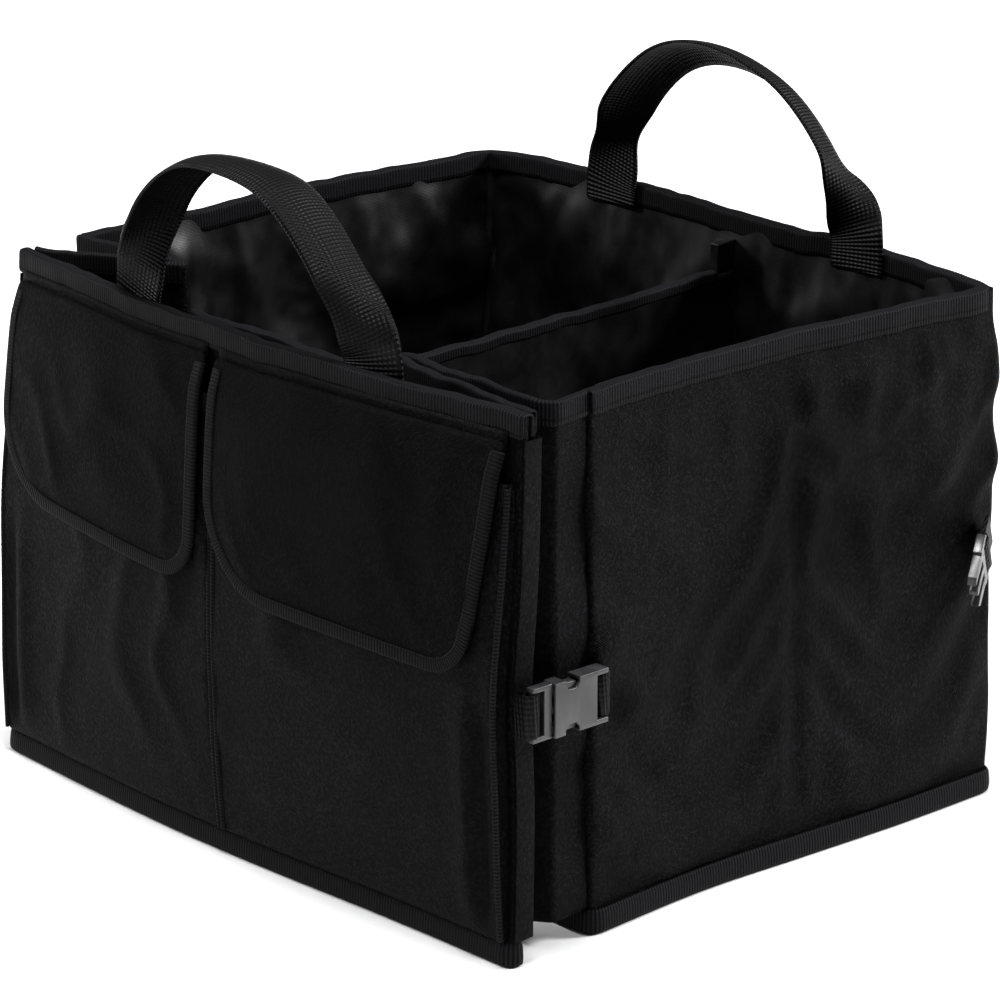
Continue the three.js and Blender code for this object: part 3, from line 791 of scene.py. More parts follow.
@dataclass
class Piece:
    """One piece of the dressed part: how its mesh is made and what it stands for."""

    name: str
    material: bpy.types.Material
    slot: str
    stands_for: Sequence[str] = ()
    body: str = ROOT
    fold: Optional[tuple[Vector, Vector]] = None

    def _finish(self, bm: bmesh.types.BMesh, settle: bool, smooth: bool = True) -> bpy.types.Object:
        """Turns a mesh in mm into a dressed object.

        Args:
            bm: The mesh, which is freed.
            settle: Whether it takes the bag's lie.
            smooth: Whether its faces are shaded smooth.

        Returns:
            The object.
        """
        for vert in bm.verts:
            vert.co = (LIE.settle(vert.co) if settle else vert.co) * MM
        mesh = bpy.data.meshes.new(self.name)
        bm.to_mesh(mesh)
        bm.free()
        for polygon in mesh.polygons:
            polygon.use_smooth = smooth
        made = bpy.data.objects.new(self.name, mesh)
        bpy.context.scene.collection.objects.link(made)
        mesh.materials.append(self.material)
        if self.fold:
            self.body
            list(self.fold)
            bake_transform(made)
        else:
            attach(made, self.body)
        if self.stands_for:
            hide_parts(*self.stands_for)
        LOG.info("%s: %d faces", self.name, len(mesh.polygons))
        return made

    def _slacken(self, bm: bmesh.types.BMesh, slack: Slack, facing: Facing, spots: list) -> None:
        """Lets the cloth hang with more stuff in it than it needs, so that it falls into real folds.

        Args:
            bm: The mesh, in mm, which takes the folds.
            slack: How much is let out and how it moves.
            facing: Which way is out at a point.
            spots: The mesh's points with their fractions.
        """
        mesh = bpy.data.meshes.new("slack")
        bm.to_mesh(mesh)
        mesh.transform(Matrix.Scale(MM, 4))
        trial = bpy.data.objects.new("slack", mesh)
        scene = bpy.context.scene
        scene.collection.objects.link(trial)
        pins = trial.vertex_groups.new(name="held")
        for vert, s, t in spots:
            pins.add([vert.index], slack.held(vert.co, s, t), "REPLACE")
        cloth = trial.modifiers.new("cloth", "CLOTH")
        cloth.settings.vertex_group_mass = "held"
        cloth.settings.shrink_min = -slack.stuff
        cloth.settings.quality = slack.quality
        cloth.settings.bending_stiffness = slack.stiffness
        cloth.settings.mass = slack.mass
        cloth.settings.air_damping = slack.air
        cloth.collision_settings.use_collision = False
        cloth.point_cache.frame_start, cloth.point_cache.frame_end = 1, slack.frames
        for k in range(1, slack.frames + 1):
            scene.frame_set(k)
        fallen = trial.evaluated_get(bpy.context.evaluated_depsgraph_get()).to_mesh()
        ends = [fallen.vertices[vert.index].co / MM for vert, _, _ in spots]
        for (vert, _, _), end in zip(spots, ends):
            step = end - vert.co
            out = facing(vert.co).normalized()
            push = step.dot(out)
            slide = step - out * push
            vert.co += out * slack.limit(push) + slide * min(1.0, slack.slide / (slide.length + 1e-6))
        scene.frame_set(1)
        bpy.data.objects.remove(trial)

    def sheet(
        self,
        size: Pair,
        cells: tuple[int, int],
        place: Place,
        thickness: float,
        lift: Optional[Lift] = None,
        facing: Optional[Facing] = None,
        levels: int = 1,
        closed: bool = False,
        measure: Optional[Callable[[float, float], Pair]] = None,
        slack: Optional[Slack] = None,
    ) -> bpy.types.Object:
        """Makes a piece of cloth or tape from a grid.

        Args:
            size: Its flat width and length, in mm.
            cells: How many cells it has across and along.
            place: Where a point of it goes, in mm, from its two fractions.
            thickness: Its thickness, in mm.
            lift: How far a point stands out along its normal, in mm.
            facing: Which way is out at a point.
            levels: How often it is subdivided.
            closed: Whether its two ends meet.
            measure: Its own measure of the cloth, in mm, where size isn't enough.
            slack: How much it is let out, for cloth that falls into folds.

        Returns:
            The object.
        """
        bm = bmesh.new()
        bmesh.ops.create_grid(bm, x_segments=cells[0], y_segments=cells[1], size=0.5)
        uv = bm.loops.layers.uv.new(UV)
        flat = measure or (lambda s, t: (s * size[0], t * size[1]))
        for face in bm.faces:
            for loop in face.loops:
                u, v = flat(loop.vert.co.x + 0.5, loop.vert.co.y + 0.5)
                loop[uv].uv = (u * MM, v * MM)
        spots = [(vert, vert.co.x + 0.5, vert.co.y + 0.5) for vert in bm.verts]
        for vert, s, t in spots:
            vert.co = place(s, t)
        bm.normal_update()
        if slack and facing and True:
            bm.verts.index_update()
            self._slacken(bm, slack, facing, spots)
            bm.normal_update()
        if lift:
            moves = []
            for vert, s, t in spots:
                out = vert.normal.copy()
                if facing and out.dot(facing(vert.co)) < 0:
                    out.negate()
                moves.append((vert, out * lift(vert.co, s, t)))
            for vert, move in moves:
                vert.co += move
        if closed:
            bmesh.ops.remove_doubles(bm, verts=bm.verts, dist=0.01)
        made = self._finish(bm, True)
        if levels:
            fine = made.modifiers.new("Fine", "SUBSURF")
            fine.levels = fine.render_levels = levels
        thick = made.modifiers.new("Thickness", "SOLIDIFY")
        thick.thickness = thickness * MM
        thick.offset = 0
        return made

    def wall(
        self,
        path: Path,
        heights: Pair,
        thickness: float,
        cell: float,
        lift: Lift,
        facing: Optional[Facing] = None,
        closed: bool = False,
        slack: Optional[Slack] = None,
    ) -> bpy.types.Object:
        """Makes an upright sheet that follows a line in plan.

        Args:
            path: The line.
            heights: Its lowest and highest Z, in mm.
            thickness: Its thickness, in mm.
            cell: The size of its cells, in mm.
            lift: How far a point stands out, in mm.
            facing: Which way is out at a point.
            closed: Whether the line is a loop.
            slack: How much it is let out.

        Returns:
            The object.
        """
        low, high = heights
        stops = path.stops(cell)
        cells = (len(stops) - 1, max(round((high - low) / cell), 2))

        def place(s: float, t: float) -> Vector:
            """A point of the wall."""
            return path.at(stops[round(s * cells[0])]) + UP * (low + t * (high - low))

        def measure(s: float, t: float) -> Pair:
            """Along the wall, then up it."""
            return stops[round(s * cells[0])], t * (high - low)

        size = (path.length, high - low)
        return self.sheet(
            size, cells, place, thickness, lift, facing, closed=closed, measure=measure, slack=slack
        )

    def swept(
        self,
        stations: Sequence[Station],
        profile: Sequence[Pair],
        thickness: float,
        closed: bool = False,
    ) -> bpy.types.Object:
        """Makes a tape: a profile carried along stations.

        Args:
            stations: Each a centre, the profile's first direction and its second, in mm.
            profile: The profile's points.
            thickness: The tape's thickness, in mm.
            closed: Whether its two ends meet.

        Returns:
            The object.
        """
        rows, columns = len(stations) - 1, len(profile) - 1
        along = Path([station[0] for station in stations]).along
        across = Path([Vector((p[0], p[1], 0)) for p in profile]).along

        def place(s: float, t: float) -> Vector:
            """A point of the tape."""
            centre, first, second = stations[round(t * rows)]
            a, b = profile[round(s * columns)]
            return centre + first * a + second * b

        def measure(s: float, t: float) -> Pair:
            """Along the tape, then across it."""
            return along[round(t * rows)], across[round(s * columns)]

        size = (across[-1], along[-1])
        return self.sheet(size, (columns, rows), place, thickness, closed=closed, measure=measure)

    def copied(
        self,
        node: str,
        cell: float = 0.0,
        settle: bool = True,
        lift: Optional[Callable[[Vector], float]] = None,
        bevel: float = 0.0,
        upright: bool = False,
        shift: Optional[Vector] = None,
    ) -> bpy.types.Object:
        """Makes a piece from a CAD node's own shape, cut into cells so that it can bend.

        Args:
            node: The node.
            cell: The size of the cells, in mm, or 0 for none.
            settle: Whether it takes the bag's lie.
            lift: How far a point stands out along its normal, in mm.
            bevel: The rounding of its edges, in mm.
            upright: Whether its threads run up and not along.
            shift: How far it is moved, in mm.

        Returns:
            The object.
        """
        bm = bmesh.new()
        bm.from_mesh(frame["nodes"][node].data)
        bmesh.ops.remove_doubles(bm, verts=bm.verts, dist=1e-6)
        bmesh.ops.scale(bm, vec=(1 / MM, 1 / MM, 1 / MM), verts=bm.verts)
        bmesh.ops.translate(bm, vec=shift or Vector(), verts=bm.verts)
        bmesh.ops.dissolve_limit(bm, angle_limit=0.01, verts=bm.verts, edges=bm.edges)
        if cell:
            for axis in range(3):
                low = min(v.co[axis] for v in bm.verts)
                high = max(v.co[axis] for v in bm.verts)
                normal = Vector((axis == 0, axis == 1, axis == 2))
                for k in range(1, math.ceil((high - low) / cell)):
                    geom = [*bm.verts, *bm.edges, *bm.faces]
                    spot = normal * (low + k * cell)
                    bmesh.ops.bisect_plane(bm, geom=geom, dist=0.001, plane_co=spot, plane_no=normal)
        self._box_uv(bm, upright)
        if lift:
            bm.normal_update()
            moves = [(vert, vert.normal * lift(vert.co)) for vert in bm.verts]
            for vert, move in moves:
                vert.co += move
        made = self._finish(bm, settle, smooth=bool(bevel))
        if bevel:
            edge = made.modifiers.new("Edges", "BEVEL")
            edge.width = bevel * MM
            edge.segments = 2
            edge.limit_method = "ANGLE"
            edge.angle_limit = math.radians(30)
            edge.harden_normals = True
        return made

    def _box_uv(self, bm: bmesh.types.BMesh, upright: bool) -> None:
        """Lays the weave on a mesh from the side that each face looks to.

        Args:
            bm: The mesh, in mm.
            upright: Whether the threads run up and not along.
        """
        uv = bm.loops.layers.uv.new(UV)
        bm.normal_update()
        for face in bm.faces:
            n = face.normal
            axis = max(range(3), key=lambda k: abs(n[k]))
            first, second = {0: (1, 2), 1: (0, 2), 2: (0, 1)}[axis]
            if upright:
                first, second = second, first
            for loop in face.loops:
                loop[uv].uv = (loop.vert.co[first] * MM, loop.vert.co[second] * MM)


def from_middle(p: Vector) -> Vector:
    """Out from the middle of the bag, for a point of its main box."""
    return Vector((p.x, 0, 0)) if abs(p.x) / HALF_WIDTH > abs(p.y) / CORNER_Y else Vector((0, p.y, 0))


def to_front(_: Vector) -> Vector:
    """Out to the front."""
    return Vector((0, -1, 0))


def arc(middle: Pair, radius: Pair, angles: range) -> list[Pair]:
    """Points on an arc.

    Args:
        middle: Its middle, in mm.
        radius: Its reach both ways, with a sign.
        angles: The angles of its points, in degrees.

    Returns:
        The points.
    """
    turns = [math.radians(a) for a in angles]
    return [(middle[0] + radius[0] * math.cos(a), middle[1] + radius[1] * math.sin(a)) for a in turns]


@dataclass
class MainBox:
    """The main box: its outer cover, its lining and its floor."""

    wardrobe: Wardrobe
    half_width: float = HALF_WIDTH
    half_depth: float = 144.0
    panel: float = 5.6
    cloth: float = 1.2
    corner: float = 3.0
    thin: float = 0.5
    cell: float = 6.0
    sewn_in: float = 9.0
    sewn_above: float = 266.0
    top: float = HEIGHT
    pull: Folds = Folds(3.4, (0, 1, 0.5), 15, 2)
    fan: Folds = Folds(3.8, (0, 0.8, -0.6), 40, 9)
    slack: Folds = Folds(4.2, (0.6, 0.7, 0.7), 52, 5)
    crumple: Sequence[Folds] = (
        Folds(7.5, (0.75, 0.75, 0.5), 58, 11),
        Folds(6.0, (-0.8, -0.8, 0.45), 74, 17),
        Folds(3.5, (1, 1, 0.15), 40, 23),
    )

    def outline(self, inset: float, corner: float) -> Path:
        """The line of the side, rear and side walls in plan.

        Args:
            inset: How far inside the outer faces it runs, in mm.
            corner: The radius of its rear corners.

        Returns:
            The path, from the right side's front edge round to the left's.
        """
        x, y = self.half_width - inset, self.half_depth - inset
        return Path(rounded([(x, 1.5 - y), (x, y), (-x, y), (-x, 1.5 - y)], corner, 6))

    def wrapped(self) -> Path:
        """The outer cover's line, which also closes the side walls' front ends.

        Returns:
            The path, from inside the right side's front end round to the left's.
        """
        around = self.outline(self.cloth / 2, self.corner).points
        x, y = self.half_width - self.cloth / 2, self.half_depth - self.cloth / 2
        inner = self.half_width - self.panel + 0.6
        right = [Vector((inner, -y, 0)), Vector((x - 1.5, -y, 0)), Vector((x - 0.4, 0.4 - y, 0))]
        left = [Vector((-p.x, p.y, 0)) for p in reversed(right)]
        return Path([*right, *around, *left])

    def sewn(self, p: Vector, s: float, t: float) -> float:
        """How firmly a wall's cloth is held: at its rim, its foot, its corners and its seams.

        Args:
            p: A point, in mm.
            s: Its share of the way along the wall.
            t: Its share of the way up it.

        Returns:
            1 where it is sewn and 0 elsewhere.
        """
        at_side = abs(p.x) > self.half_width - self.sewn_in
        corner = at_side and abs(p.y) > self.half_depth - self.sewn_in
        seam = at_side and abs(p.y) < 3
        return 1.0 if t < 0.03 or p.z > self.sewn_above or corner or seam else 0.0

    def outer_lift(self, p: Vector, s: float, t: float) -> float:
        """The relief of the outer cover: a seam up each side, boards behind it, and soft folds.

        Args:
            p: A point, in mm.
            s: Its share of the way across the cloth.
            t: Its share of the way up it.

        Returns:
            How far it stands out, in mm.
        """
        held = eased(p.z, 12, 34) * (1 - eased(p.z, 244, 266))
        side = eased(abs(p.x), 190, 196) * held
        seam = side * (-1.8 * mound(p.y, 0, 3.2) + 1.2 * mound(abs(p.y), 9, 7))
        edge = side * 1.1 * (1 - mound(p.y, -144, 9))
        pull = side * mound(p.y, 3, 20) * mound(p.z, 214, 26) * self.pull.at(p)
        gather = side * -1.0 * mound(p.y, 5, 10) * mound(p.z, 216, 15)
        fan = side * self.fan.at(p) * eased(p.z, 20, 110)
        return seam + edge + pull + gather + self.slack.at(p) * held + fan + 0.7 * held * ripple(p, 32, 1)

    def lining_lift(self, p: Vector, s: float, t: float) -> float:
        """The relief of the lining, which is loose and crumples."""
        return -(1 - t**8) * sum(folds.at(p) for folds in self.crumple) - 0.6

    def build(self) -> None:
        """Builds the cover, the lining and the floor."""
        low = self.panel + 0.3
        covers = ["right_side_cover", "left_side_cover", "rear_panel_cover"]
        outer = self.wrapped()
        made = Piece("outer_cover", self.wardrobe.cloth, "cloth", covers).wall(
            outer, (low, self.top), self.cloth, self.cell, self.outer_lift, from_middle,
            slack=Slack(self.sewn, stuff=0.035, stiffness=0.6, outward=5.0, inward=1.2),
        )
        inner = self.outline(self.panel - self.cloth / 2, 4.0)
        made = Piece("bay_lining", self.wardrobe.lining, "lining").wall(
            inner, (low, self.top), self.thin, self.cell, self.lining_lift, from_middle,
            slack=Slack(self.sewn, stuff=0.09, stiffness=0.08, outward=0.6, inward=14.0),
        )
        floor = Piece("floor_cover", self.wardrobe.lining, "lining", ["base_cover"])
        floor.copied("base_cover", 14.0, lift=lambda p: 0.5 * ripple(p, 40, 3))


@dataclass
class Boards:
    """The boards inside the walls, which bend with them."""

    wardrobe: Wardrobe
    nodes: Sequence[str] = (
        "base_board", "right_side_board_front", "right_side_board_rear", "left_side_board_front",
        "left_side_board_rear", "rear_panel_board", "front_panel_board", "front_divider_board",
        "middle_divider_board",
    )

    def build(self) -> None:
        """Builds each board."""
        for node in self.nodes:
            piece = Piece(f"stiff_{node}", self.wardrobe.board, "board", [node])
            piece.copied(node, 24.0, lift=lambda p: -0.6)


@dataclass
class Dividers:
    """The front divider, and the middle one with its tab."""

    wardrobe: Wardrobe
    top: float = 250.0
    bottom: float = 5.9
    panel: float = 5.6
    cloth: float = 1.0
    folds: Folds = Folds(3.4, (0.7, 0.6, 0.8), 46, 31)
    front: tuple[Pair, Pair] = ((-193.6, -132.2), (193.6, -132.2))
    middle: tuple[Pair, Pair] = ((27, -127.2), (3, 137.4))

    def loop(self, start: Pair, end: Pair) -> Path:
        """The line round a divider in plan.

        Args:
            start: One end of its middle line.
            end: The other end.

        Returns:
            A closed path.
        """
        a, b = Vector((*start, 0)), Vector((*end, 0))
        along = (b - a).normalized()
        side = Vector((-along.y, along.x, 0)) * (self.panel / 2 - self.cloth / 2)
        corners = [(a + b) / 2 + side, b + side, b - side, a - side, a + side, (a + b) / 2 + side]
        return Path(rounded([(c.x, c.y) for c in corners], 1.6, 3))

    def crumple(self, p: Vector, s: float, t: float) -> float:
        """The relief of a divider's cloth."""
        return (1 - t**8) * (self.folds.at(p) + 0.5 * ripple(p, 26, 6))

    def build(self) -> None:
        """Builds both dividers."""
        for word, ends, slot in (("front", self.front, "cloth"), ("middle", self.middle, "lining")):
            piece = Piece(f"{word}_divider", self.wardrobe.lining, slot, [f"{word}_divider_cover"])
            heights = (self.bottom, self.top)
            piece.wall(self.loop(*ends), heights, self.cloth, 5.5, self.crumple, closed=True)
        tab = Piece("divider_tab", self.wardrobe.lining, "lining", ["middle_divider_tab"])
        tab.copied("middle_divider_tab", 4.0, bevel=0.8)


@dataclass
class Tapes:
    """The tapes folded over the rims of the walls, gussets and dividers."""

    wardrobe: Wardrobe
    drop: float = 12.0
    thickness: float = 0.8
    thin: float = 0.5
    divider_top: float = 251.4
    wall: float = 3.5
    gusset: float = 2.0
    divider: float = 3.1

    def profile(self, half: float, drop: float) -> list[Pair]:
        """A tape folded over a wall, from its outer edge to its inner one.

        Args:
            half: Half the wall's thickness with its gap and the tape's middle, in mm.
            drop: How far its legs reach down.

        Returns:
            Points of side offset and height above the wall's top.
        """
        dip = min(half, 1.4) * 0.6
        bend = arc((0, 0.4 - dip), (half, dip), HALF_TURN)
        low = 0.6 - drop
        legs = [low, low * 0.66, low * 0.33]
        return [*[(half, z) for z in legs], *bend, *[(-half, z) for z in reversed(legs)]]

    def stations(self, path: Path, top: float, step: float = 4.0) -> list[Station]:
        """Where the tape's profile stands along a rim.

        Args:
            path: The rim's line in plan.
            top: The rim's height.
            step: How far apart the stations are.

        Returns:
            The stations.
        """
        made = []
        for _, spot, way in path.paced(step):
            centre = spot + UP * top
            side = UP.cross(way) * -1
            sway = side * 0.8 * ripple(centre, 16, 12) + UP * (1.3 * ripple(centre, 13, 7))
            made.append((centre + sway, side, UP))
        return made

    def build(self) -> None:
        """Builds every rim tape."""
        wall, gusset, divider = self.wall, self.gusset, self.divider
        rim = (self.wardrobe.rim_tape, HEIGHT, self.drop, self.thickness)
        low = (self.wardrobe.tape, self.divider_top, self.drop / 2, self.thin)
        main = [(197.2, -144), (197.2, 141.2), (-197.2, 141.2), (-197.2, -144)]
        runs = {
            "rim_binding_main": (rounded(main, 5), wall, rim),
            "rim_binding_front": (rounded([(201.0, -197.2), (-201.0, -197.2)], 1), wall, rim),
            "rim_binding_gusset_right": (FrontCompartment.right_fold(), gusset, rim),
            "rim_binding_gusset_left": (FrontCompartment.left_fold(), gusset, rim),
            "front_divider_binding": (rounded([(194.1, -132.2), (-194.1, -132.2)], 1), divider, low),
            "middle_divider_binding": (rounded([(27, -127.9), (4.5, 121.6)], 1), divider, low),
        }
        for node, (line, half, (material, top, drop, thickness)) in runs.items():
            piece = Piece(f"{node}_tape", material, "tape", [node])
            piece.swept(self.stations(Path(line), top), self.profile(half, drop), thickness)


@dataclass
class FrontCompartment:
    """The folded front compartment: its front panel, its folded gussets, its edge bands and its floor."""

    wardrobe: Wardrobe
    gusset: float = 2.4
    bottom: float = 13.6
    top: float = HEIGHT
    outer: float = -199.4
    inner: float = -195.0
    half: float = 199.4
    hung: Folds = Folds(2.2, (1, 0.4, 0.35), 42, 41)
    dented: Folds = Folds(-1.0, (0.4, 0, 1), 60, 44)
    flat: Folds = Folds(0.8, (0.8, 0, 0.6), 60, 51)

    @staticmethod
    def right_fold() -> list[Vector]:
        """The line of the right gusset in plan.

        Returns:
            Its points, from the front panel to the main box.
        """
        bend = arc((0, 0), (FOLD_RADIUS, FOLD_RADIUS), HALF_TURN)
        tip = [Vector((84 - y, -164 - x, 0)) for x, y in bend]
        ends = rounded([(84, -161.2), (188, -174.3), (196.7, -168.3), (196.7, -144.3)], 4)
        return [Vector((198.7, -190.6, 0)), *tip, *ends[1:]]

    @staticmethod
    def left_fold() -> list[Vector]:
        """The line of the left gusset in plan.

        Returns:
            Its points, from the front panel to the main box.
        """
        bend = arc((0, 0), (FOLD_RADIUS, FOLD_RADIUS), HALF_TURN)
        tip = [Vector((y - 119, -141.2 - x, 0)) for x, y in bend]
        return [Vector((-198.7, -190.6, 0)), *tip, Vector((-197.4, -148.3, 0))]

    def slump(self, p: Vector, s: float, t: float) -> float:
        """The relief of a gusset, which hangs in soft upright folds."""
        return (1 - 0.8 * t**8) * (self.hung.at(p) + self.dented.at(p))

    def front_lift(self, p: Vector, s: float, t: float) -> float:
        """The relief of the front panel's cover."""
        held = eased(p.z, 12, 34) * (1 - eased(p.z, 244, 266)) * (1 - eased(abs(p.x), 186, 196))
        return held * (self.flat.at(p) + 0.4 * ripple(p, 30, 2))

    def build(self) -> None:
        """Builds the compartment."""
        x, front, back = self.half, self.outer, self.inner
        ring = [(0, front), (x, front), (x, back), (-x, back), (-x, front), (0, front)]
        loop = Path(rounded(ring, 1.8, 4))
        panel = Piece("front_panel", self.wardrobe.cloth, "cloth", ["front_panel_cover"])
        panel.wall(loop, (1.5, self.top), 1.2, 6.0, self.front_lift, closed=True)
        for side, line in (("right", self.right_fold()), ("left", self.left_fold())):
            piece = Piece(f"gusset_{side}_cloth", self.wardrobe.cloth, "cloth", [f"gusset_{side}"])
            path = Path(line)
            made = piece.wall(path, (self.bottom, self.top), self.gusset, 5.0, self.slump)
            node = f"front_edge_{side}"
            band = Piece(f"{node}_band", self.wardrobe.cloth, "cloth", [node])
            band.copied(node, 9.0, bevel=0.4, upright=True)
        floor = Piece("front_floor_cloth", self.wardrobe.lining, "lining", ["front_floor"])
        floor.copied("front_floor", 10.0, lift=lambda p: 0.5 * ripple(p, 30, 9))


@dataclass
class Hems:
    """The rolled hems round the foot of the main box and of the front panel."""

    wardrobe: Wardrobe
    half_width: float = 201.3
    half_depth: float = 145.3
    thickness: float = 2.2

    def build(self) -> None:
        """Builds both hems."""
        profile = [(-1.6, 0.9), (0.3, 0.7), (1.3, 1.6), (1.5, 4.4), (1.2, 8.4), (0.9, 11.4), (-0.3, 12.4)]
        x, y = self.half_width, self.half_depth
        ring = [(0, y), (-x, y), (-x, -y), (x, -y), (x, y), (0, y)]
        self._run("base_hem", rounded(ring, 5, 4), profile, True)
        line = rounded([(199.2, -194.2), (199.9, -200.4), (-199.9, -200.4), (-199.2, -194.2)], 2.0, 3)
        self._run("front_hem", line, profile, False)

    def _run(self, node: str, line: Sequence[Vector], profile: Sequence[Pair], closed: bool) -> None:
        """Builds one hem.

        Args:
            node: The node that it stands for.
            line: Its line in plan.
            profile: Its section, out from the line and up.
            closed: Whether it is a ring.
        """
        path = Path(line)
        stations = []
        for share, spot, way in path.paced(5):
            if closed and share in (0, 1):
                side = from_middle(path.at(0)).normalized()
            else:
                side = UP.cross(way) * -1
                out = from_middle(spot) if closed else Vector((spot.x * 0.001, -1, 0))
                if side.dot(out) < 0:
                    side.negate()
            stations.append((spot, side, UP))
        piece = Piece(f"{node}_roll", self.wardrobe.hem_tape, "tape", [node])
        piece.swept(stations, profile, self.thickness, closed=closed)


@dataclass
class Pocket:
    """One patch pocket on the front panel, with its bellows ends and its bound mouth."""

    wardrobe: Wardrobe
    side: Side
    span: Pair
    back: float = -200.3
    foot: float = 13.6
    mouth: float = 246.0
    depth: Sequence[Pair] = ((13.6, 4.6), (60.0, 8.2), (140.0, 10.0), (246.0, 5.2))
    end: float = 14.0
    tuck: float = 2.6
    edge: float = 0.8
    thickness: float = 1.1
    cord: float = 1.5

    def deep(self, z: float) -> float:
        """How far the pocket stands from the panel at a height."""
        return through(self.depth, z)

    def place(self, s: float, t: float) -> Vector:
        """A point of the pocket's cloth.

        Args:
            s: Along it from its left seam over the face to its right seam.
            t: Along it from the seam at its foot to its mouth.

        Returns:
            The point, in mm.
        """
        x0, x1 = self.span
        floor = 0.05
        rise = max((t - floor) / (1 - floor), 0.0)
        z = self.foot + rise * (self.mouth - self.foot)
        deep = (self.deep(z) - 0.6) * min(t / floor, 1.0)
        total = x1 - x0 + 2 * self.end
        run = s * total
        if run < self.end:
            fold = self.tuck * math.sin(math.pi * run / self.end) * rise
            return Vector((x0 + self.edge + fold, self.back - deep * run / self.end, z))
        if run > total - self.end:
            left = total - run
            fold = self.tuck * math.sin(math.pi * left / self.end) * rise
            return Vector((x1 - self.edge - fold, self.back - deep * left / self.end, z))
        across = (run - self.end) / (total - 2 * self.end)
        x = x0 + self.edge + across * (x1 - x0 - 2 * self.edge)
        return Vector((x, self.back - deep, z))

    def relief(self, p: Vector, s: float, t: float) -> float:
        """The relief of the pocket's face: it bellies out a little and has a few long folds.

        Args:
            p: A point, in mm.
            s: Its share of the way across the cloth.
            t: Its share of the way up it.

        Returns:
            How far it stands out, in mm.
        """
        middle = math.sin(math.pi * min(max(s, 0), 1)) ** 0.5
        if p.y > self.back - 4:
            return 0.0
        belly = 1.6 * middle * math.sin(math.pi * min(t, 1.0))
        folds = Folds(3.0, (0.9, 0, 0.35), 46, 61 + self.side.value).at(p) * (1 - t**5)
        low = eased(p.z, 16, 34) * (1 - eased(p.z, 110, 160))
        outer = self.span[1] - 11 if self.side is Side.RIGHT else self.span[0] + 11
        lip = outer - 9 * self.side.value
        gape = low * (2.4 * mound(p.x, lip, 7) - 5.0 * mound(p.x, outer, 3.0))
        return belly + folds + gape + 0.4 * ripple(p, 24, 5)

    def build(self) -> None:
        """Builds the pocket, its mouth's tape and the piping down its outer end."""
        x0, x1 = self.span
        size = (x1 - x0 + 2 * self.end, self.mouth - self.foot + 12)
        name = f"pocket_{self.side.word}"
        cells = (round(size[0] / 4.5), round(size[1] / 5))
        piece = Piece(f"{name}_cloth", self.wardrobe.cloth, "cloth", [name])
        made = piece.sheet(size, cells, self.place, self.thickness, self.relief, to_front)
        self.mouth_tape()
        for x, word in ((x0 + self.edge, "left"), (x1 - self.edge, "right")):
            self.piping(x, word)

    def mouth_tape(self) -> None:
        """Builds the tape folded over the pocket's mouth."""
        x0, x1 = self.span
        out = to_front(UP)
        count = round((x1 - x0) / 6)
        y = self.back - self.deep(self.mouth) + 0.6
        stations = [
            (Vector((x0 + 1 + (x1 - x0 - 2) * k / count, y, self.mouth)), out, UP) for k in range(count + 1)
        ]
        leg = [(1.0, -9), (1.0, -6), (1.0, -3), (0.9, -0.4)]
        profile = [*leg, (0, 0.5), *[(-x, z) for x, z in reversed(leg)]]
        node = f"pocket_tape_{self.side.word}"
        Piece(f"{node}_ribbon", self.wardrobe.flap_tape, "tape", [node]).swept(stations, profile, 0.6)

    def piping(self, x: float, word: str) -> None:
        """Builds the cord that edges one end of the pocket.

        Args:
            x: The end's place.
            word: The end's name.
        """
        ring = arc((0, 0), (self.cord, self.cord), range(0, 361, 45))
        stations = []
        steps = 46
        for k in range(steps + 1):
            z = self.foot + 1 + (self.mouth - self.foot - 2) * k / steps
            centre = Vector((x, self.back - self.deep(z) + 0.4, z))
            stations.append((centre, Vector((1, 0, 0)), Vector((0, 1, 0))))
        piece = Piece(f"pocket_{self.side.word}_piping_{word}", self.wardrobe.tape, "tape")
        piece.swept(stations, ring, 0.5)


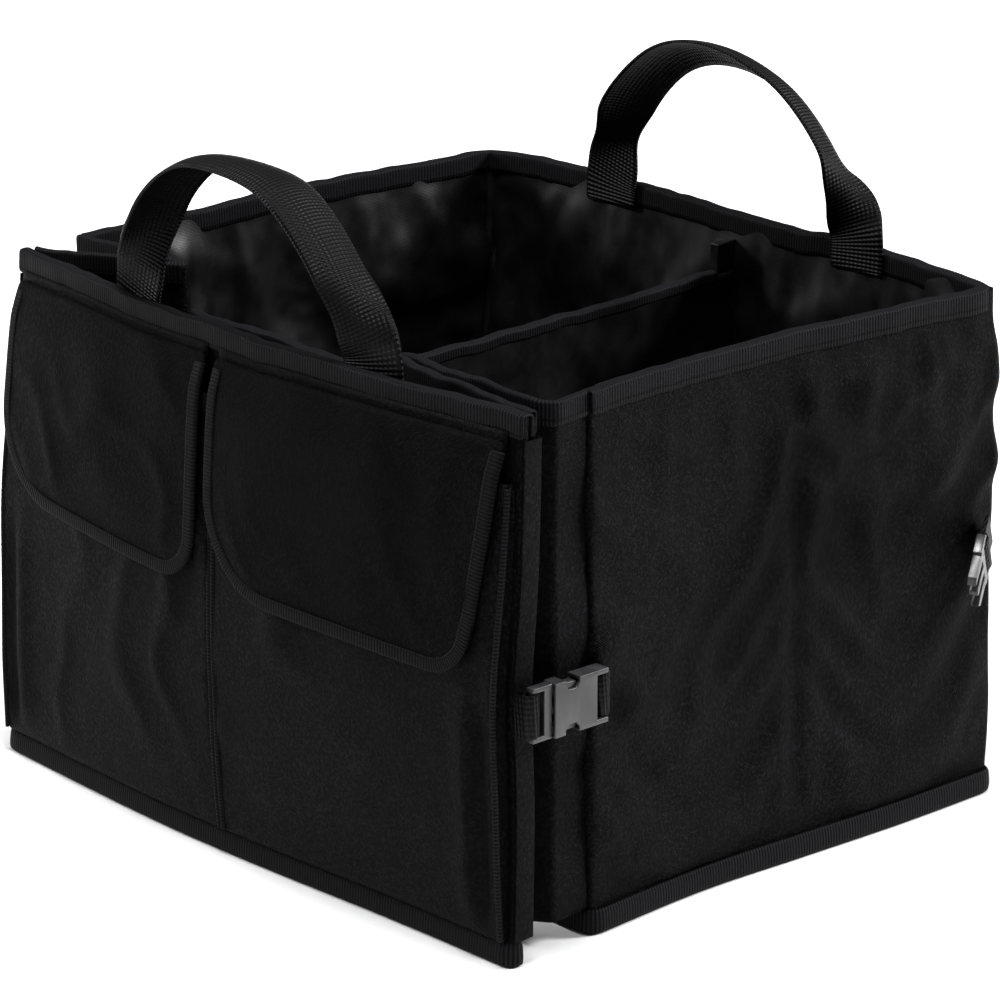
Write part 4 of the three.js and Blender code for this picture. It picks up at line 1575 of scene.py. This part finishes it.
@dataclass
class Flap:
    """One pocket flap, hung from the front panel, with its rounded lower corners bound in tape."""

    wardrobe: Wardrobe
    side: Side
    span: Pair
    taper: float
    rise: float
    top: float = 266.0
    bottom: float = 146.0
    big: float = 52.0
    small: float = 26.0
    thickness: float = 1.8
    fold: tuple[Vector, Vector] = (Vector((0, -0.204, 0.2655)), Vector((0, -0.204, 0.2500)))
    folds: Folds = Folds(1.6, (0.8, 0, 0.6), 44, 73)
    hang: Sequence[Pair] = (
        (134.0, -214.6), (141.0, -214.4), (196.0, -212.0),
        (246.0, -208.6), (258.0, -205.4), (266.0, -202.6),
    )

    def edges(self, z: float) -> Pair:
        """The flap's two edges at a height.

        Args:
            z: The height, in mm.

        Returns:
            The X of the left edge and of the right one, in mm.
        """
        left, right = self.span
        foot = self.bottom
        left_edge, right_edge = left, right - self.taper * (1 - eased(z, foot, self.top))
        if z < foot + self.big:
            left_edge += self.big - math.sqrt(max(self.big**2 - (foot + self.big - z) ** 2, 0))
        if z < foot + self.small:
            right_edge -= self.small - math.sqrt(max(self.small**2 - (foot + self.small - z) ** 2, 0))
        return left_edge, right_edge

    def surface(self, x: float, z: float) -> Vector:
        """The flap's middle surface at a place in front view.

        Args:
            x: The place's X, in mm.
            z: Its height before the flap's skew, in mm.

        Returns:
            The point there, in mm.
        """
        left, right = self.span
        across = (x - left) / (right - left)
        low = 1 - eased(z, self.bottom, self.top)
        curl = 1.4 * math.sin(math.pi * min(max(across, 0), 1)) * low
        z += self.rise * (1 - across) * low
        return Vector((x, through(self.hang, z) - curl, z))

    def place(self, s: float, t: float) -> Vector:
        """A point of the flap's cloth.

        Args:
            s: Its share of the way across.
            t: Its share of the way up.

        Returns:
            The point, in mm.
        """
        z = self.bottom + (self.top - self.bottom) * t**1.6
        left, right = self.edges(z)
        return self.surface(left + s * (right - left), z)

    def relief(self, p: Vector, s: float, t: float) -> float:
        """The relief of the flap: soft dents between its bound edges."""
        inside = max(min(s * 6, (1 - s) * 6, (t - 0.14) * 3), 0)
        return min(inside, 1.0) * (1.6 * ripple(p, 46, 71) + self.folds.at(p) + 0.8)

    def build(self) -> None:
        """Builds the flap, its tape and the two halves of its fastener."""
        word = self.side.word
        body = f"{word}_flap"
        size = (self.span[1] - self.span[0], self.top - self.bottom)
        node = f"flap_{word}"
        piece = Piece(f"{node}_cloth", self.wardrobe.flap_cloth, "cloth", [node], body, self.fold)
        made = piece.sheet(size, (42, 30), self.place, self.thickness, self.relief, to_front)
        self.binding(body)
        self.root()
        for kind, on, shift in (("hook", body, 2.6), ("loop", ROOT, -0.6)):
            node = f"{kind}_patch_{word}"
            piece = Piece(f"{kind}_{word}", self.wardrobe.patch, "patch", [node], on)
            piece.copied(node, 8.0, shift=Vector((0, shift, 0)))

    def root(self) -> None:
        """Builds the flap's sewn top edge, which stays on the panel under the rim tape."""
        left, right = self.span[0] + 1, self.span[1] - 1
        piece = Piece(f"flap_root_{self.side.word}", self.wardrobe.cloth, "cloth")
        piece.sheet(
            (right - left, 9),
            (40, 4),
            lambda s, t: Vector((left + s * (right - left), -202.0 + 0.9 * t, 262 + 9 * t)),
            1.2,
            levels=0,
        )

    def binding(self, body: str) -> None:
        """Builds the tape round the flap's free edges.

        Args:
            body: The body that it is made for; the tape is baked in place and not attached to it.
        """
        left, right = self.span
        low, high = self.bottom, self.top - 4.5
        rim = [(left, high), (left, low + self.big)]
        rim += arc((left + self.big, low + self.big), (-self.big, -self.big), range(6, 91, 6))
        inner = right - self.taper - self.small
        curve = arc((inner, low + self.small), (self.small, -self.small), range(0, 91, 9))
        rim += reversed(curve)
        rim += [(self.edges(z)[1], z) for z in (175, 190, 205, 220, 235, 248, high)]
        leg = [(7.2, 1.2), (5.0, 1.3), (2.4, 1.3), (0.3, 1.2)]
        profile = [*leg, (-0.4, 0.0), *[(x, -z) for x, z in reversed(leg)]]
        stations = []
        for _, spot, way in Path([Vector((x, 0, z)) for x, z in rim]).paced(4):
            lean = (self.surface(spot.x, spot.z + 4) - self.surface(spot.x, spot.z - 4)).normalized()
            ahead = Vector((1, 0, 0)).cross(lean).normalized()
            within = (Vector((-way.z, 0, 0)) + lean * way.x).normalized()
            stations.append((self.surface(spot.x, spot.z), within, ahead))
        node = f"flap_tape_{self.side.word}"
        piece = Piece(f"{node}_ribbon", self.wardrobe.flap_tape, "tape", [node], body, self.fold)
        piece.swept(stations, profile, 0.6)


@dataclass
class Handle:
    """One carrying handle of wide webbing, sewn flat inside a panel and turned a quarter above it."""

    wardrobe: Wardrobe
    end: End
    y: float
    line: Sequence[Pair]
    lean: float
    narrow: float
    cup: float = 4.0
    pinch: float = 0.26
    width: float = 39.0
    thickness: float = 1.6
    twist: Pair = (284.0, 330.0)

    def centre(self) -> Path:
        """The handle's middle line in front view, smoothed through its points.

        Returns:
            The path, from the left foot over the top to the right.
        """
        points = [Vector((x, 0, z)) for x, z in self.line]
        ends = [points[0], *points, points[-1]]
        smooth = []
        for a, b, c, d in zip(ends, ends[1:], ends[2:], ends[3:]):
            for k in range(12):
                t = k / 12
                bend = (2 * a - 5 * b + 4 * c - d) * t**2 + (3 * b - a - 3 * c + d) * t**3
                smooth.append(0.5 * (2 * b + (c - a) * t + bend))
        return Path([*smooth, points[-1]])

    def build(self) -> None:
        """Builds the handle."""
        across = Vector((0, 1, 0))
        stations = []
        for share, spot, way in self.centre().paced(4):
            foot = math.pi / 2 if share < 0.5 else -math.pi / 2
            turned = eased(spot.z, *self.twist)
            tilt = foot * (1 - turned) + math.radians(self.lean) * turned
            thin = way.cross(across) * math.cos(tilt) + across * math.sin(tilt)
            drawn = 1 - self.narrow * turned - self.pinch * math.sin(math.pi * turned)
            centre = spot + across * self.y
            stations.append((centre, thin.cross(way) * drawn, thin * (0.1 + turned)))
        profile = [(self.width * (k / 8 - 0.5), -self.cup * (k / 4 - 1) ** 2) for k in range(9)]
        node = f"handle_{self.end.word}"
        piece = Piece(f"{node}_web", self.wardrobe.webbing, "webbing", [node])
        piece.swept(stations, profile, self.thickness)


@dataclass
class Buckles:
    """The side-release buckles' sockets and plugs, and the webbing loops that hold them."""

    wardrobe: Wardrobe
    plastic_edge: float = 0.45
    webbing_edge: float = 0.3

    def build(self) -> None:
        """Builds every buckle part and strap."""
        for side in Side:
            word = side.word
            self._hard(f"buckle_socket_{word}", ROOT)
            self._web(f"strap_socket_{word}", ROOT)
            for end in End:
                body = f"{end.word}_{word}_plug"
                self._hard(f"buckle_plug_{end.word}_{word}", body)
                self._web(f"strap_plug_{end.word}_{word}", body)

    def _hard(self, node: str, body: str) -> None:
        """A moulded part with rounded edges."""
        piece = Piece(f"{node}_moulding", self.wardrobe.plastic, "plastic", [node], body)
        piece.copied(node, settle=False, bevel=self.plastic_edge)

    def _web(self, node: str, body: str) -> None:
        """A loop of narrow webbing, between its sewn end and the bar of its plug.

        Args:
            node: The loop's node.
            body: The body that it rides on, or whose plug it holds.
        """
        fold = None if body == ROOT else self._give(node)
        piece = Piece(f"{node}_loop", self.wardrobe.strap, "webbing", [node], body, fold)
        piece.copied(node, settle=False, bevel=self.webbing_edge)

    def _give(self, node: str) -> tuple[Vector, Vector]:
        """Two places on the line from a plug's loop towards its plug: one behind the loop's middle and one
        towards the bar, in metres.

        Args:
            node: The loop's node.

        Returns:
            The two places.
        """
        middles = []
        for name in (node, node.replace("strap", "buckle")):
            spots = [v.co for v in frame["nodes"][name].data.vertices]
            middles.append(sum(spots, Vector()) / len(spots))
        loop, plug = middles
        return loop - (plug - loop) * 0.5, loop + (plug - loop) * 0.35


@dataclass
class Studio:
    """The floor, the lights and the camera."""

    target: tuple[float, float, float] = (-26.32, -0.48, 140.0)
    azimuth: float = 47.71
    elevation: float = 18.29
    distance: float = 2287.18
    lens: float = 151.2
    floor_half: float = 12.0
    floor_drop: float = 0.0003
    sky: float = 0.14

    def build(self) -> None:
        """Sets the stage."""
        scene = bpy.context.scene
        scene.view_settings.view_transform = "Standard"
        self._camera()
        self._floor()
        self._sky()
        middle = (0.0, 0.0, 0.15)
        far_floor = (-4.5, 4.5, 0.0)
        self._lamp("rear_key", (1.5, 2.2, 1.7), middle, size=0.7, power=120)
        self._lamp("left_key", (-2.7, -1.3, 1.6), middle, size=0.7, power=58)
        self._lamp("top", (0.2, -0.4, 3.0), middle, size=1.0, power=120)
        self._lamp("floor_wash", (-2.6, 2.6, 3.0), far_floor, size=2.5, power=420)

    def _camera(self) -> None:
        """The camera at the photograph's view."""
        az, el = math.radians(self.azimuth), math.radians(self.elevation)
        back = Vector((math.sin(az) * math.cos(el), -math.cos(az) * math.cos(el), math.sin(el)))
        camera = bpy.data.cameras.new("camera")
        camera.lens = self.lens
        camera.sensor_width = 36
        camera.clip_end = 50
        made = bpy.data.objects.new("camera", camera)
        made.location = (Vector(self.target) + back * self.distance) * MM
        made.rotation_euler = (-back).to_track_quat("-Z", "Y").to_euler()
        bpy.context.scene.collection.objects.link(made)
        bpy.context.scene.camera = made

    def _floor(self) -> None:
        """A wide pale floor."""
        bm = bmesh.new()
        bmesh.ops.create_grid(bm, x_segments=2, y_segments=2, size=self.floor_half)
        bmesh.ops.translate(bm, vec=(0, 0, -self.floor_drop), verts=bm.verts)
        mesh = bpy.data.meshes.new("floor")
        bm.to_mesh(mesh)
        bm.free()
        made = bpy.data.objects.new("floor", mesh)
        bpy.context.scene.collection.objects.link(made)
        recipe = Recipe("pale_floor")
        recipe.set(Base_Color=(0.9, 0.9, 0.9, 1), Roughness=0.75)
        mesh.materials.append(recipe.material)

    def _sky(self) -> None:
        """Even white light from all round."""
        world = bpy.data.worlds.new("studio")
        world.use_nodes = True
        background = world.node_tree.nodes["Background"]
        background.inputs["Color"].default_value = (1, 1, 1, 1)
        background.inputs["Strength"].default_value = self.sky
        bpy.context.scene.world = world

    def _lamp(self, name: str, place: tuple, aim: tuple, size: float, power: float) -> None:
        """One soft lamp.

        Args:
            name: Its name.
            place: Where it stands, in metres.
            aim: What it looks at, in metres.
            size: The side of its square face, in metres.
            power: Its power, in watts.
        """
        light = bpy.data.lights.new(name, "AREA")
        light.size = size
        light.energy = power
        made = bpy.data.objects.new(name, light)
        made.location = place
        made.rotation_euler = (Vector(aim) - Vector(place)).to_track_quat("-Z", "Y").to_euler()
        bpy.context.scene.collection.objects.link(made)


def main() -> None:
    """Builds the dressed part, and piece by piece."""
    logging.basicConfig(level=logging.INFO, format="%(name)s %(message)s")
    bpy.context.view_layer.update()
    Studio().build()
    wardrobe = Wardrobe()
    MainBox(wardrobe).build()
    Boards(wardrobe).build()
    Dividers(wardrobe).build()
    FrontCompartment(wardrobe).build()
    Tapes(wardrobe).build()
    Hems(wardrobe).build()
    Pocket(wardrobe, Side.LEFT, (-197.0, -4.7)).build()
    Pocket(wardrobe, Side.RIGHT, (-3.3, 197.0)).build()
    Flap(wardrobe, Side.LEFT, (-195.0, -14.0), taper=0.0, rise=10.0).build()
    Flap(wardrobe, Side.RIGHT, (-6.0, 193.0), taper=10.0, rise=4.0).build()
    rear = (
        (-97, 266), (-97, 286), (-86, 327), (-51, 361), (-6, 372), (44, 360), (80, 327), (96, 290), (98, 266)
    )
    front = (
        (-89, 266), (-89, 286), (-74, 329), (-46, 356), (-12, 366), (36, 362), (74, 331), (96, 292), (98, 266)
    )
    Handle(wardrobe, End.REAR, 135.9, rear, lean=34, narrow=0.2).build()
    Handle(wardrobe, End.FRONT, -191.9, front, lean=6, narrow=0.14).build()
    Buckles(wardrobe).build()
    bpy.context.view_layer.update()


if __name__ == "__main__":
    main()
